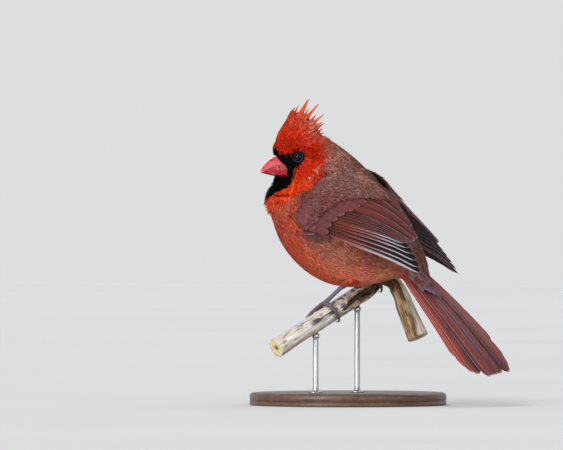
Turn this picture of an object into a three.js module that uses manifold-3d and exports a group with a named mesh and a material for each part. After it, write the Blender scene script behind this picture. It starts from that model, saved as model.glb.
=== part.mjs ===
// A male northern cardinal, life size, perched on a short cut length of dry stalk that two thin rods hold above a round base.
// Millimetres, +Z up. The body faces -Y, its left side is +X, and the origin is the centre of the base's underside.
import * as THREE from "three";
import { mergeVertices } from "three/addons/utils/BufferGeometryUtils.js";
import Module from "manifold-3d";

const wasm = await Module();
wasm.setup();
const { PI, sin, cos, sqrt, abs, max, min, floor, atan2 } = Math;
const RAD = PI / 180;

// ---------------------------------------------------------------- driving dimensions
const HEAD_TURN = 24 * RAD; // the head looks this far to the bird's left
const PIVOT_Y = -26; // the neck's turning axis
const GAP = 0.3; // clearance between neighbouring solids
const BASE = { radius: 62, height: 8, round: 1.6 };
const ROD_RADIUS = 1.75;
const PERCH_RADIUS = 5.6;
const EYE_RADIUS = 3.5;
const EYE = [9.7, -33.75, 156.2]; // left eye's centre before the head turns
const TAIL_LENGTH = 102;
const TAIL_ROOT = [0, 37.0, 94.4];
const TAIL_TIP = [-1.5, 107.0, 20.6];

// Ribs of the feathered body: the back line and belly line as (y, z), half width, how much narrower the top is, and the share of the head's turn.
const RIBS = [
  // back y, z     belly y, z    half   egg   turn
  [-49.2, 157.2, -43.4, 144.4, 4.6, 0.0, 1.0], // bill base
  [-50.4, 160.4, -47.2, 141.6, 7.6, 0.1, 1.0], // lores
  [-48.6, 165.6, -49.6, 137.0, 9.8, 0.18, 1.0], // brow
  [-42.2, 170.4, -51.0, 131.8, 11.8, 0.26, 1.0], // crown
  [-32.5, 172.2, -51.8, 126.2, 14.0, 0.33, 0.99], // ear
  [-20.5, 169.6, -51.8, 119.8, 17.0, 0.36, 0.8], // nape
  [-7.5, 162.6, -49.8, 111.4, 21.6, 0.26, 0.4], // neck base
  [5.5, 153.4, -45.4, 101.2, 25.4, 0.1, 0.1], // shoulder
  [17.0, 143.2, -37.0, 90.8, 27.2, 0.0, 0.0], // mantle
  [27.0, 132.6, -24.6, 81.6, 27.4, -0.02, 0.0], // back
  [35.5, 122.6, -9.6, 75.8, 26.2, -0.02, 0.0], // lower back
  [42.5, 113.0, 7.0, 74.6, 23.6, 0.0, 0.0], // flank
  [48.5, 103.8, 22.5, 77.4, 19.4, 0.0, 0.0], // rump
  [54.0, 95.6, 35.5, 79.4, 14.2, 0.0, 0.0], // vent
  [59.8, 87.0, 47.0, 76.6, 10.0, 0.0, 0.0], // tail coverts
  [65.0, 79.0, 58.0, 72.4, 5.0, 0.0, 0.0], // tips of the coverts
];

// ---------------------------------------------------------------- curves and solids
const V3 = (x, y, z) => new THREE.Vector3(x, y, z);
const lerp = (a, b, t) => a + (b - a) * t;

// Catmull-Rom through the rows of a table, at t from 0 to rows - 1.
function row(table, t) {
  const n = table.length,
    i = min(n - 2, max(0, floor(t))),
    f = t - i;
  return table[0].map((_, k) => {
    const p1 = table[i][k],
      p2 = table[i + 1][k],
      p0 = i > 0 ? table[i - 1][k] : 2 * p1 - p2,
      p3 = i + 2 < n ? table[i + 2][k] : 2 * p2 - p1;
    return (
      0.5 *
      (2 * p1 +
        (-p0 + p2) * f +
        (2 * p0 - 5 * p1 + 4 * p2 - p3) * f * f +
        (-p0 + 3 * p1 - 3 * p2 + p3) * f * f * f)
    );
  });
}

function turnHead([x, y, z], share = 1) {
  const a = HEAD_TURN * share,
    v = y - PIVOT_Y;
  return [
    x * cos(a) - v * sin(a),
    x * sin(a) + v * cos(a) + PIVOT_Y,
    z,
  ];
}

// A point on the feathered body: t runs from the bill to the tail, phi 0 is the left side and 90 degrees the back.
function bodyPoint(t, phi, off = 0) {
  const [ty, tz, by, bz, w, egg, turn] = row(RIBS, t);
  const h = Math.hypot(ty - by, tz - bz) / 2,
    s = sin(phi),
    k = (h + off) * s,
    x = (w + off) * cos(phi) * (1 - egg * s);
  return turnHead(
    [
      x,
      (ty + by) / 2 + ((ty - by) / (2 * h)) * k,
      (tz + bz) / 2 + ((tz - bz) / (2 * h)) * k,
    ],
    turn,
  );
}

// A closed mesh from rings of equal count, capped by fans at both ends.
function ringsGeometry(rings) {
  const n = rings[0].length,
    pos = [],
    idx = [];
  for (const r of rings) for (const p of r) pos.push(...p);
  for (let i = 0; i + 1 < rings.length; i++)
    for (let j = 0; j < n; j++) {
      const a = i * n + j,
        b = i * n + ((j + 1) % n),
        c = a + n,
        d = b + n;
      idx.push(a, b, d, a, d, c);
    }
  for (const [first, flip] of [
    [0, true],
    [(rings.length - 1) * n, false],
  ]) {
    const c = [0, 1, 2].map(
      (k) =>
        pos
          .slice(3 * first, 3 * (first + n))
          .filter((_, i) => i % 3 === k)
          .reduce((a, b) => a + b, 0) / n,
    );
    const m = pos.length / 3;
    pos.push(...c);
    for (let j = 0; j < n; j++) {
      const a = first + j,
        b = first + ((j + 1) % n);
      if (flip) idx.push(m, b, a);
      else idx.push(m, a, b);
    }
  }
  const g = new THREE.BufferGeometry();
  g.setAttribute("position", new THREE.Float32BufferAttribute(pos, 3));
  g.setIndex(idx);
  return g;
}

function solid(geometry) {
  const g = geometry.clone();
  for (const a of ["normal", "uv"]) if (g.getAttribute(a)) g.deleteAttribute(a);
  const m = mergeVertices(g, 1e-4);
  let s = new wasm.Manifold(
    new wasm.Mesh({
      numProp: 3,
      vertProperties: new Float32Array(m.attributes.position.array),
      triVerts: new Uint32Array(m.index.array),
    }),
  );
  if (s.volume() < 0) {
    const t = new Uint32Array(m.index.array);
    for (let i = 0; i < t.length; i += 3) [t[i + 1], t[i + 2]] = [t[i + 2], t[i + 1]];
    s = new wasm.Manifold(
      new wasm.Mesh({
        numProp: 3,
        vertProperties: new Float32Array(m.attributes.position.array),
        triVerts: t,
      }),
    );
  }
  return s;
}
const fromRings = (rings) => solid(ringsGeometry(rings));

function geometryOf(s) {
  const m = s.getMesh(),
    n = m.numProp,
    v = new Float32Array(m.numVert * 3);
  for (let i = 0; i < m.numVert; i++)
    v.set(m.vertProperties.subarray(i * n, i * n + 3), i * 3);
  const g = new THREE.BufferGeometry();
  g.setAttribute("position", new THREE.BufferAttribute(v, 3));
  g.setIndex(new THREE.BufferAttribute(m.triVerts, 1));
  g.computeVertexNormals();
  return g;
}

// The largest connected body of a solid: cuts can leave slivers behind.
function largest(s) {
  const all = s.decompose();
  return all.sort((a, b) => b.volume() - a.volume())[0];
}

// A round-section limb along points, with a radius (or [across, thick] radii) at each.
function limb(points, radii, sides = 10, up = [0, 0, 1]) {
  const pts = points.map((p) => V3(...p)),
    rings = [];
  let side = null;
  pts.forEach((p, i) => {
    const t = pts[min(i + 1, pts.length - 1)]
      .clone()
      .sub(pts[max(i - 1, 0)])
      .normalize();
    if (!side) {
      side = V3(...up).cross(t);
      if (side.length() < 1e-3) side = V3(1, 0, 0);
    }
    side.sub(t.clone().multiplyScalar(side.dot(t))).normalize();
    const nrm = t.clone().cross(side),
      r = radii[i],
      ra = Array.isArray(r) ? r[0] : r,
      rb = Array.isArray(r) ? r[1] : r,
      ring = [];
    for (let j = 0; j < sides; j++) {
      const a = (2 * PI * j) / sides,
        q = p
          .clone()
          .addScaledVector(side, ra * cos(a))
          .addScaledVector(nrm, rb * sin(a));
      ring.push([q.x, q.y, q.z]);
    }
    rings.push(ring);
  });
  return fromRings(rings);
}

// Points along a smooth curve through a few control points.
function curve(control, n) {
  const c = new THREE.CatmullRomCurve3(
    control.map((p) => V3(...p)),
    false,
    "centripetal",
  );
  return Array.from({ length: n + 1 }, (_, i) => {
    const p = c.getPointAt(i / n);
    return [p.x, p.y, p.z];
  });
}

// The part of a solid on one side of a plane through p with normal d, kept a little clear of it.
function halfSpace(s, p, d, clear = GAP / 2) {
  const n = V3(...d).normalize();
  return s.trimByPlane([n.x, n.y, n.z], n.dot(V3(...p)) + clear);
}
// Between two planes across the body at ribs t0 and t1.
function bodyPlane(t) {
  const a = V3(...bodyPoint(t, PI / 2)),
    b = V3(...bodyPoint(t, -PI / 2)),
    l = V3(...bodyPoint(t, 0)),
    r = V3(...bodyPoint(t, PI)),
    n = l.clone().sub(r).cross(a.clone().sub(b)).normalize(),
    c = a.add(b).multiplyScalar(0.5);
  return { p: [c.x, c.y, c.z], n: [-n.x, -n.y, -n.z] };
}

const group = new THREE.Group();
group.name = "northern_cardinal";
const look = {
  red: [0xc23018, 0.75],
  back: [0x7c4a40, 0.8],
  mask: [0x17120f, 0.8],
  bill: [0xc94a4c, 0.45],
  eye: [0x0c0909, 0.1],
  wing: [0x8c4038, 0.65],
  tail: [0x86383a, 0.6],
  leg: [0x4c3d42, 0.55],
  claw: [0x2d2428, 0.4],
  stalk: [0xb5a68c, 0.85],
  base: [0x2f2a27, 0.5],
  rod: [0x8f8f92, 0.35],
};
function add(name, s, finish, metal = 0) {
  const [color, roughness] = look[finish];
  const mesh = new THREE.Mesh(
    geometryOf(s),
    new THREE.MeshStandardMaterial({ color, roughness, metalness: metal }),
  );
  mesh.name = name;
  group.add(mesh);
}

// ---------------------------------------------------------------- the feathered body
const AROUND = 18;
function bodyRings(off = 0, step = 0.75) {
  const rings = [];
  for (let t = 0; t <= RIBS.length - 1 + 1e-6; t += step)
    rings.push(
      Array.from({ length: AROUND }, (_, j) =>
        bodyPoint(min(t, RIBS.length - 1 - 1e-6), (2 * PI * (j + 0.5)) / AROUND, off),
      ),
    );
  return rings;
}
const body = fromRings(bodyRings());

// ---------------------------------------------------------------- bill, in the head's own frame before it turns
const CULMEN = [[-46.8, 158.0], [-50.4, 158.0], [-54.0, 156.6], [-57.4, 153.7], [-60.0, 149.4], [-61.2, 146.4]];
const TOMIUM = [[-38.6, 148.2], [-44.0, 149.4], [-49.2, 150.2], [-53.6, 148.9], [-58.2, 147.4], [-61.1, 146.2]];
const GONYS = [[-39.6, 143.2], [-44.4, 143.6], [-49.6, 144.1], [-54.0, 145.0], [-57.4, 145.9], [-59.6, 146.5]];
const BILL_HALF = [6.4, 6.0, 4.9, 3.6, 2.0, 0.25];
function billHalf(edge, ridge, half, lift, steps = 9, across = 6) {
  const rings = [];
  for (let i = 0; i <= steps; i++) {
    const t = (i / steps) * (edge.length - 1),
      e = row(edge, t),
      r = row(ridge, t),
      w = max(0.12, row(half.map((x) => [x]), t)[0]);
    const ring = [];
    for (let j = 0; j <= across; j++) {
      const a = (PI * j) / across,
        up = sin(a) ** 0.85;
      ring.push([w * cos(a), lerp(e[0], r[0], up), lerp(e[1], r[1], up)]);
    }
    // the flat side where the two halves of the bill meet
    for (const k of [-0.5, 0.5])
      ring.push([w * k, e[0], e[1] + lift]);
    rings.push(ring.map((p) => turnHead(p)));
  }
  return fromRings(rings);
}
const billUpper = billHalf(
  TOMIUM.map(([y, z]) => [y, z + GAP / 2]),
  CULMEN,
  BILL_HALF,
  0.05,
);
const billLower = billHalf(
  TOMIUM.map(([y, z], i) => [y + [0, 0, 0, 0, 0.6, 1.6][i], z - GAP / 2]),
  GONYS,
  BILL_HALF.map((w) => w * 0.93),
  -0.05,
);

// ---------------------------------------------------------------- eyes
function eyeAt(side) {
  const g = new THREE.SphereGeometry(EYE_RADIUS, 10, 7);
  const [x, y, z] = turnHead([side * EYE[0], EYE[1], EYE[2]]);
  g.rotateZ(0.1);
  g.translate(x, y, z);
  return solid(g);
}
function eyeHole(side) {
  const g = new THREE.SphereGeometry(EYE_RADIUS + GAP, 10, 7);
  const [x, y, z] = turnHead([side * EYE[0], EYE[1], EYE[2]]);
  g.rotateZ(0.1);
  g.translate(x, y, z);
  return solid(g);
}

// ---------------------------------------------------------------- crest: a narrow core with pointed locks along its top and back
// height, front y, back y, half width
const CREST = [
  [160.0, -51.6, -12.0, 8.6],
  [166.0, -50.2, -13.5, 8.0],
  [172.0, -47.2, -17.6, 6.6],
  [178.0, -43.4, -20.6, 5.0],
  [183.5, -39.8, -23.6, 3.5],
  [187.0, -36.6, -26.6, 2.1],
];
const LOCKS = [
  // root y, z, tip y, z, root radius
  [-37.0, 179.0, -34.8, 189.4, 2.2],
  [-33.0, 179.0, -28.6, 193.4, 2.6],
  [-30.0, 179.0, -26.2, 189.2, 2.2],
  [-27.0, 176.0, -22.4, 190.2, 2.5],
  [-25.0, 173.0, -20.0, 183.2, 2.6],
  [-23.0, 170.0, -18.6, 177.6, 2.6],
  [-21.6, 165.0, -18.6, 171.6, 2.6],
];
function crestSolid() {
  const rings = [],
    n = 10;
  for (let i = 0; i <= 6; i++) {
    const [z, f, b, w] = row(CREST, (i / 6) * (CREST.length - 1));
    rings.push(
      Array.from({ length: n }, (_, j) => {
        const a = (2 * PI * j) / n,
          c = cos(a);
        return turnHead([
          w * sin(a) * (1 - 0.25 * c),
          (f + b) / 2 - ((b - f) / 2) * c,
          z,
        ]);
      }),
    );
  }
  let s = fromRings(rings);
  LOCKS.forEach(([ry, rz, ty, tz, r], i) => {
    const x = (i % 2 ? 1 : -1) * 0.8;
    const pts = [0, 0.5, 1].map((k) =>
      turnHead([x * k, lerp(ry, ty, k), lerp(rz, tz, k) - 0.6 * sin(PI * k) * (i / 6)]),
    );
    s = s.add(limb(pts, [[r * 0.75, r], [r * 0.62, r * 0.72], [0.3, 0.3]], 6, [0, 1, 0]));
  });
  return s;
}

// ---------------------------------------------------------------- folded wings, as feathers laid on a curved sheet
// Lower and upper edge of the left wing's outer surface from shoulder to tip, and how far its middle stands out.
const WING_LOW = [[26.4, -21.0, 113.4], [30.6, 1.2, 104.4], [30.8, 24.0, 97.6], [27.4, 51.0, 89.0], [22.4, 70.8, 79.6]];
const WING_TOP = [[17.0, -10.0, 141.6], [15.0, 10.0, 140.8], [11.5, 26.6, 129.4], [9.4, 42.6, 116.6], [8.6, 58.6, 101.6]];
const WING_BULGE = [[3.6], [4.6], [4.2], [2.6], [1.6]];
function wingPoint(a, b, h = 0) {
  const at = (x, y) => {
    const L = row(WING_LOW, min(x, 3.9999)),
      U = row(WING_TOP, min(x, 3.9999)),
      q = row(WING_BULGE, min(x, 3.9999))[0] * 4 * y * (1 - y),
      c = V3(...U).sub(V3(...L)),
      m = min(3.96, max(0.02, x)),
      along = V3(...row(WING_LOW, m + 0.02)).sub(V3(...row(WING_LOW, m - 0.02))),
      n = along.cross(c).normalize();
    const beyond = max(0, x - 3.9999);
    const d = V3(0, 15, -5).multiplyScalar(beyond);
    return V3(...L).addScaledVector(c, y).addScaledVector(n, q).add(d);
  };
  const e = 0.02,
    p = at(a, b),
    da = at(a + e, b).sub(at(a - e, b)),
    db = at(a, b + e).sub(at(a, b - e)),
    n = da.cross(db).normalize();
  return p.addScaledVector(n, h);
}
// Width of the wing's sheet in mm for one unit of b.
function chordOf(a) {
  return wingPoint(a, 0.75).distanceTo(wingPoint(a, 0.25)) * 2;
}
// One long feather on the sheet: root and tip in (a, b), half width in mm, height of its outer face over the sheet, thickness and blunt tip.
function vane({ root, tip, half, over, thick, grow = 0, side = 1, blunt = 0.35, steps = 4 }) {
  const rings = [];
  for (let i = 0; i <= steps; i++) {
    const s = i / steps,
      a = lerp(root[0], tip[0], s) + (i === steps ? grow * 0.06 : 0),
      b = lerp(root[1], tip[1], s ** 1.1),
      w =
        half *
          (0.62 + 0.38 * sin(min(1, s * 1.6) * PI * 0.5)) *
          (s > 1 - blunt ? max(0.16, (1 - ((s - (1 - blunt)) / blunt) ** 2.2)) : 1) +
        grow,
      dw = w / chordOf(a),
      ring = [];
    const put = (bb, h) => {
      const p = wingPoint(a, bb, h);
      ring.push([p.x * side, p.y, p.z]);
    };
    const top = lerp(over[0], over[1], s) + grow,
      bot = top - thick - 2 * grow;
    put(b - dw, bot);
    put(b + dw, bot);
    put(b + dw, top);
    put(b - dw, top);
    rings.push(ring);
  }
  return fromRings(rings);
}
const PRIMARY_TIPS = [3.7, 3.95, 4.0, 3.9];
function primaries(side, grow = 0) {
  let s = null;
  PRIMARY_TIPS.forEach((end, i) => {
    const v = vane({
      root: [0.75, 0.09 + 0.075 * i],
      tip: [end, 0.08 + 0.1 * i],
      half: 3.0,
      over: [0.0 + 0.12 * i, 0.0 + 0.14 * i],
      thick: 0.75,
      grow,
      side,
    });
    s = s ? s.add(v) : v;
  });
  return s;
}
const SECONDARY_TIPS = [3.64, 3.6, 3.9, 3.7];
function secondaries(side, grow = 0) {
  let s = null;
  SECONDARY_TIPS.forEach((end, i) => {
    const inner = i > 1;
    const v = vane({
      root: [0.95 + 0.2 * i, 0.41 + 0.11 * i],
      tip: [end, [0.44, 0.56, 0.72, 0.88][i]],
      half: inner ? 5.2 : 4.0,
      over: [1.75 + 0.2 * i, 1.6 + 0.2 * i],
      thick: 0.75,
      grow,
      side,
      blunt: inner ? 0.3 : 0.22,
    });
    s = s ? s.add(v) : v;
  });
  return s;
}
// The feathered arm with its coverts: a lens over the wing's front.
function coverts(side, grow = 0) {
  const rings = [],
    m = 7,
    n = 7;
  for (let i = 0; i <= n; i++) {
    const s = i / n,
      outer = [],
      inner = [];
    for (let j = 0; j <= m; j++) {
      const b = lerp(-0.03, 0.97, j / m) + (grow / 24) * (2 * (j / m) - 1),
        end = 0.72 + 1.3 * max(0, b) ** 0.8, // where the greater coverts end
        a = lerp(-0.15 - grow * 0.05, end + grow * 0.05, s),
        edge = sqrt(max(0, 1 - abs(2 * (j / m) - 1) ** 5)),
        front = sin(PI * min(0.5, s * 1.6 + 0.1)),
        p = wingPoint(a, b, 1.3 + 2.0 * edge * front - 0.5 * s + grow),
        q = wingPoint(a, b, -1.1 - grow);
      outer.push([p.x * side, p.y, p.z]);
      inner.push([q.x * side, q.y, q.z]);
    }
    rings.push([...outer, ...inner.reverse()]);
  }
  return fromRings(rings);
}

// The hollow the folded wing lies in: the body ends under it.
function wingHollow(side) {
  const rings = [],
    m = 4,
    n = 7;
  for (let i = 0; i <= n; i++) {
    const a = lerp(-0.28, 4.05, i / n),
      outer = [],
      inner = [];
    for (let j = 0; j <= m; j++) {
      const b = lerp(-0.08, 1.02, j / m),
        p = wingPoint(a, b, 9),
        q = wingPoint(a, b, -1.1 - GAP - 0.5);
      outer.push([p.x * side, p.y, p.z]);
      inner.push([q.x * side, q.y, q.z]);
    }
    rings.push([...outer, ...inner.reverse()]);
  }
  return fromRings(rings);
}

// ---------------------------------------------------------------- tail: twelve feathers, the middle pair on top
const TAIL_ROLL = 10 * RAD;
const TAIL_SPREAD = { left: 1.72 * RAD, right: 2.2 * RAD };
function tailFrame() {
  const a = V3(...TAIL_ROOT),
    d = V3(...TAIL_TIP).sub(a).normalize(),
    x = V3(1, 0, 0).addScaledVector(d, -d.x).normalize(),
    n = x.clone().cross(d).normalize();
  if (n.z < 0) n.negate();
  const side = x.clone().multiplyScalar(cos(TAIL_ROLL)).addScaledVector(n, -sin(TAIL_ROLL)),
    nn = n.clone().multiplyScalar(cos(TAIL_ROLL)).addScaledVector(x, sin(TAIL_ROLL));
  return { a, d, side, nn };
}
function rectrix(k, grow = 0) {
  // k from -5.5 to 5.5, positive to the bird's left
  const { a, d, side, nn } = tailFrame(),
    m = abs(k),
    ang = k * (k > 0 ? TAIL_SPREAD.left : TAIL_SPREAD.right),
    dir = d.clone().multiplyScalar(cos(ang)).addScaledVector(side, sin(ang)),
    across = side.clone().multiplyScalar(cos(ang)).addScaledVector(d, -sin(ang)),
    len = TAIL_LENGTH * (1 - 0.0045 * max(0, m - 0.5) ** 2),
    rings = [],
    steps = 3;
  for (let i = 0; i <= steps; i++) {
    const s = i < steps - 1 ? (i / (steps - 1)) * 0.93 : i === steps - 1 ? 0.93 : 1,
      tipShape = s >= 1 ? 0.45 : 1,
      w = lerp(2.6, 5.8, min(1, s * 1.25)) * tipShape + grow,
      c = a
        .clone()
        .addScaledVector(dir, s * len + (i === steps ? grow : 0))
        .addScaledVector(side, k * 0.55)
        .addScaledVector(nn, -0.4 * m * (1 - 0.2 * s) + 1.2 * sin(PI * s)),
      ring = [];
    for (const [q, h] of [
      [-1, -0.36],
      [1, -0.36],
      [1, 0.34],
      [-1, 0.34],
    ]) {
      const p = c
        .clone()
        .addScaledVector(across, q * w)
        .addScaledVector(nn, h + Math.sign(h) * grow);
      ring.push([p.x, p.y, p.z]);
    }
    rings.push(ring);
  }
  return fromRings(rings);
}
function tailSolid(grow = 0) {
  let s = null;
  for (let k = -5.5; k <= 5.5; k++) s = s ? s.add(rectrix(k, grow)) : rectrix(k, grow);
  return s;
}

// ---------------------------------------------------------------- perch
const PERCH_AT = V3(0, 2.6, 66.4); // a point of the stalk's axis
const PERCH_DIR = V3(-0.927, 0.375, 0.514).normalize(); // up towards the bird's right
const PERCH_FRONT = V3(-0.375, -0.927, 0).normalize(); // across it, towards the bird's front
const PERCH_TOP = PERCH_DIR.clone().cross(PERCH_FRONT).normalize();
const onAxis = (s) => PERCH_AT.clone().addScaledVector(PERCH_DIR, s);
// A point at angle th from the stalk's top towards its front, s along it, at a distance r from its axis.
const onPerch = (s, th, r) =>
  onAxis(s)
    .addScaledVector(PERCH_TOP, r * cos(th))
    .addScaledVector(PERCH_FRONT, r * sin(th));
const PERCH_ENDS = [-66, 27];
function perchSolid(grow = 0) {
  const pts = [],
    radii = [];
  for (let i = 0; i <= 8; i++) {
    const s = lerp(PERCH_ENDS[0], PERCH_ENDS[1], i / 8),
      p = onAxis(s),
      e = max(0, (s - 12) / 15);
    p.addScaledVector(PERCH_TOP, 1.2 * e);
    pts.push([p.x, p.y, p.z]);
    const r = PERCH_RADIUS + 0.35 * max(0, (-s - 40) / 26) - 2.4 * e * e;
    radii.push([r + grow, r + grow]);
  }
  const s = limb(pts, radii, 10);
  if (grow) return s;
  // the split that opens along the upper end
  const split = [];
  for (let i = 0; i <= 5; i++) {
    const k = i / 5,
      p = onPerch(lerp(-14, 27, k), 245 * RAD, PERCH_RADIUS + 0.6);
    split.push([p.x, p.y, p.z]);
  }
  return s.subtract(limb(split, [0.4, 2.1, 2.8, 3.0, 2.8, 2.2], 7));
}
// the bent-over length behind, cut short
function bendSolid(grow = 0) {
  const path = curve(STUB, 6);
  return limb(
    path,
    path.map((_, i) => lerp(3.6, 6.0, i / 6) + grow),
    9,
  );
}
const STUB = [[-22.4, 12.4, 79.4], [-25.0, 18.6, 76.8], [-24.0, 25.0, 68.2], [-24.2, 29.8, 57.0], [-24.4, 37.0, 42.6]];

// ---------------------------------------------------------------- legs and feet
const FOOT_S = { left: -20.2, right: 19.6 }; // where each foot holds the stalk
const PAD_R = 1.7;
// along: how far each toe's tip lies along the stalk from the foot, arc: degrees round it from the top, radius of the toe
const TOES = {
  left: [
    { along: 2.4, arc: 96, r: 1.0 },
    { along: -4.4, arc: 118, r: 1.1 },
    { along: -12.6, arc: 58, r: 1.0 },
    { along: 1.6, arc: -112, r: 1.2 },
  ],
  right: [
    { along: -2.4, arc: 92, r: 1.0 },
    { along: -1.0, arc: 112, r: 1.1 },
    { along: 2.6, arc: 84, r: 1.0 },
    { along: 0.4, arc: -108, r: 1.2 },
  ],
};
function perchRadiusAt(s) {
  const e = max(0, (s - 12) / 15);
  return PERCH_RADIUS + 0.35 * max(0, (-s - 40) / 26) - 2.4 * e * e;
}
function perchLift(s) {
  return 1.2 * max(0, (s - 12) / 15);
}
function toePoint(foot, toe, k) {
  const s = FOOT_S[foot] + toe.along * k,
    r = perchRadiusAt(s) + GAP + toe.r * 1.08 + 0.3 + 0.3 * (1 - k),
    p = onPerch(s, (toe.arc * k + (toe.arc > 0 ? 8 : -8)) * RAD, r).addScaledVector(PERCH_TOP, perchLift(s));
  return [p.x, p.y, p.z];
}
function toeSolid(foot, toe, grow = 0) {
  const pts = [],
    rad = [];
  for (let i = 0; i <= 4; i++) {
    pts.push(toePoint(foot, toe, i / 4));
    rad.push(toe.r * (1.06 - 0.22 * (i / 4)) + grow);
  }
  return limb(pts, rad, 5, [0.3, 0.2, 1]);
}
function clawSolid(foot, toe) {
  const a = V3(...toePoint(foot, toe, 0.96)),
    b = V3(...toePoint(foot, toe, 1)),
    d = b.clone().sub(a).normalize(),
    s = FOOT_S[foot] + toe.along,
    centre = onAxis(s).addScaledVector(PERCH_TOP, perchLift(s)),
    inward = centre.sub(b);
  inward.sub(d.clone().multiplyScalar(inward.dot(d))).normalize();
  const hind = toe.arc < 0,
    len = hind ? 6.4 : 4.6,
    bend = hind ? 95 * RAD : 70 * RAD,
    R = len / bend,
    lift = toe.r * 0.25,
    start = b.clone().addScaledVector(d, GAP).addScaledVector(inward, -lift),
    pts = [],
    rad = [];
  for (let i = 0; i <= 3; i++) {
    const k = i / 3,
      q = start
        .clone()
        .addScaledVector(d, R * sin(bend * k))
        .addScaledVector(inward, R * (1 - cos(bend * k)) * (hind ? 0.95 : 0.7));
    pts.push([q.x, q.y, q.z]);
    rad.push([lerp(0.62, 0.25, k), lerp(0.85, 0.25, k ** 1.2)]);
  }
  return limb(pts, rad, 5, [inward.x, inward.y, inward.z]);
}
const footTop = (foot) => {
  const s = FOOT_S[foot],
    p = onPerch(s, -4 * RAD, perchRadiusAt(s) + perchLift(s) + GAP + PAD_R + 0.1);
  return p;
};
const ANKLE = { left: [13.4, 12.2, 80.6], right: [-15.4, 22.5, 92.0] };
const THIGH_TOP = { left: [14.5, 3.0, 92.0], right: [-14.5, 14.0, 100.0] };
function footSolid(foot, grow = 0) {
  const c = footTop(foot),
    pad = new THREE.SphereGeometry(PAD_R + grow, 7, 5);
  pad.translate(c.x, c.y, c.z);
  let s = solid(pad);
  for (const toe of TOES[foot]) s = s.add(toeSolid(foot, toe, grow));
  return s;
}
function tarsusSolid(foot, grow = 0) {
  const c = footTop(foot),
    a = V3(...ANKLE[foot]),
    pts = [],
    rad = [];
  const start = (PAD_R + GAP) / c.distanceTo(a);
  for (let i = 0; i <= 5; i++) {
    const k = lerp(start, 1, i / 5),
      p = c.clone().lerp(a, k);
    p.y -= 0.6 * sin(PI * k);
    pts.push([p.x, p.y, p.z]);
    const w = i === 0 ? 1.45 : i === 5 ? 1.9 : 1.3;
    rad.push([w * 0.85 + grow, w * 1.1 + grow]);
  }
  return limb(pts, rad, 8, [1, 0, 0]);
}
function thighSolid(foot, grow = 0) {
  const a = V3(...THIGH_TOP[foot]),
    b = V3(...ANKLE[foot]),
    c = footTop(foot),
    end = b.clone().lerp(c, foot === "left" ? 0.3 : 0.42);
  const pts = [a, a.clone().lerp(b, 0.5), b, b.clone().lerp(end, 0.55), end].map((p) => [p.x, p.y, p.z]);
  return limb(pts, [8.6, 7.8, 5.6, 3.8, 2.3].map((r) => r + grow), 10, [1, 0, 0]);
}

// ---------------------------------------------------------------- stand
function baseSolid() {
  const { radius: r, height: h, round: c } = BASE,
    profile = [
      [0, 0],
      [r, 0],
      [r, h - c],
      [r - c * 0.3, h - c * 0.3],
      [r - c, h],
      [0, h],
    ].map(([x, y]) => new THREE.Vector2(x, y));
  const g = new THREE.LatheGeometry(profile, 32);
  g.rotateX(PI / 2);
  return solid(g);
}
const ROD_S = [-31.5, 5.0];
function rodSolid(s, grow = 0) {
  const top = onAxis(s),
    z1 = top.z - PERCH_RADIUS * 0.15 + grow,
    z0 = BASE.height - 4 - grow,
    g = new THREE.CylinderGeometry(ROD_RADIUS + grow, ROD_RADIUS + grow, z1 - z0, 12);
  g.rotateX(PI / 2);
  g.translate(top.x, top.y, (z0 + z1) / 2);
  return solid(g);
}

// ---------------------------------------------------------------- putting it together
const sides = [
  ["left", 1],
  ["right", -1],
];
const bodyGrown = fromRings(bodyRings(GAP));
const minus = (s, ...others) => others.reduce((a, b) => a.subtract(b), s);

// perch, stand and feet
const rodHoles = ROD_S.map((s) => rodSolid(s, GAP));
add("perch", largest(minus(perchSolid(), ...rodHoles)), "stalk");
add("perch_bend", largest(minus(bendSolid(), perchSolid(GAP))), "stalk");
add("stand_base", minus(baseSolid(), ...rodHoles), "base");
ROD_S.forEach((s, i) => add("stand_rod_" + (i + 1), rodSolid(s), "rod", 1));

const cut = [perchSolid(GAP), bendSolid(GAP)]; // what the body makes room for
for (const [foot] of sides) {
  const thigh = thighSolid(foot);
  add("foot_" + foot, footSolid(foot), "leg");
  add("tarsus_" + foot, largest(minus(tarsusSolid(foot), thighSolid(foot, GAP), footSolid(foot, GAP))), "leg");
  TOES[foot].forEach((toe, i) => add("claw_" + foot + "_" + (i + 1), clawSolid(foot, toe), "claw"));
  add("thigh_" + foot, largest(minus(thigh, perchSolid(GAP), footSolid(foot, GAP))), "red");
  cut.push(thighSolid(foot, GAP), tarsusSolid(foot, GAP));
  if (foot === "right") cut.push(footSolid(foot, GAP));
}

// wings
for (const [name, side] of sides) {
  const over = coverts(side, GAP);
  add("wing_" + name + "_coverts", coverts(side), "wing");
  add("wing_" + name + "_secondaries", largest(minus(secondaries(side), over)), "wing");
  add("wing_" + name + "_primaries", largest(minus(primaries(side), over, secondaries(side, GAP))), "wing");
  cut.push(wingHollow(side));
}

// tail, bill, crest
add("tail", largest(minus(tailSolid(), bodyGrown)), "tail");
const face = body.translate([0.4 * sin(HEAD_TURN), -0.4 * cos(HEAD_TURN), 0]); // clears the bill's root
add("bill_upper", largest(minus(billUpper, bodyGrown, face)), "bill");
add("bill_lower", largest(minus(billLower, bodyGrown, face)), "bill");
add("crest", largest(minus(crestSolid(), bodyGrown)), "red");
for (const [name, side] of sides) {
  add("eye_" + name, eyeAt(side), "eye");
  cut.push(eyeHole(side));
}

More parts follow.
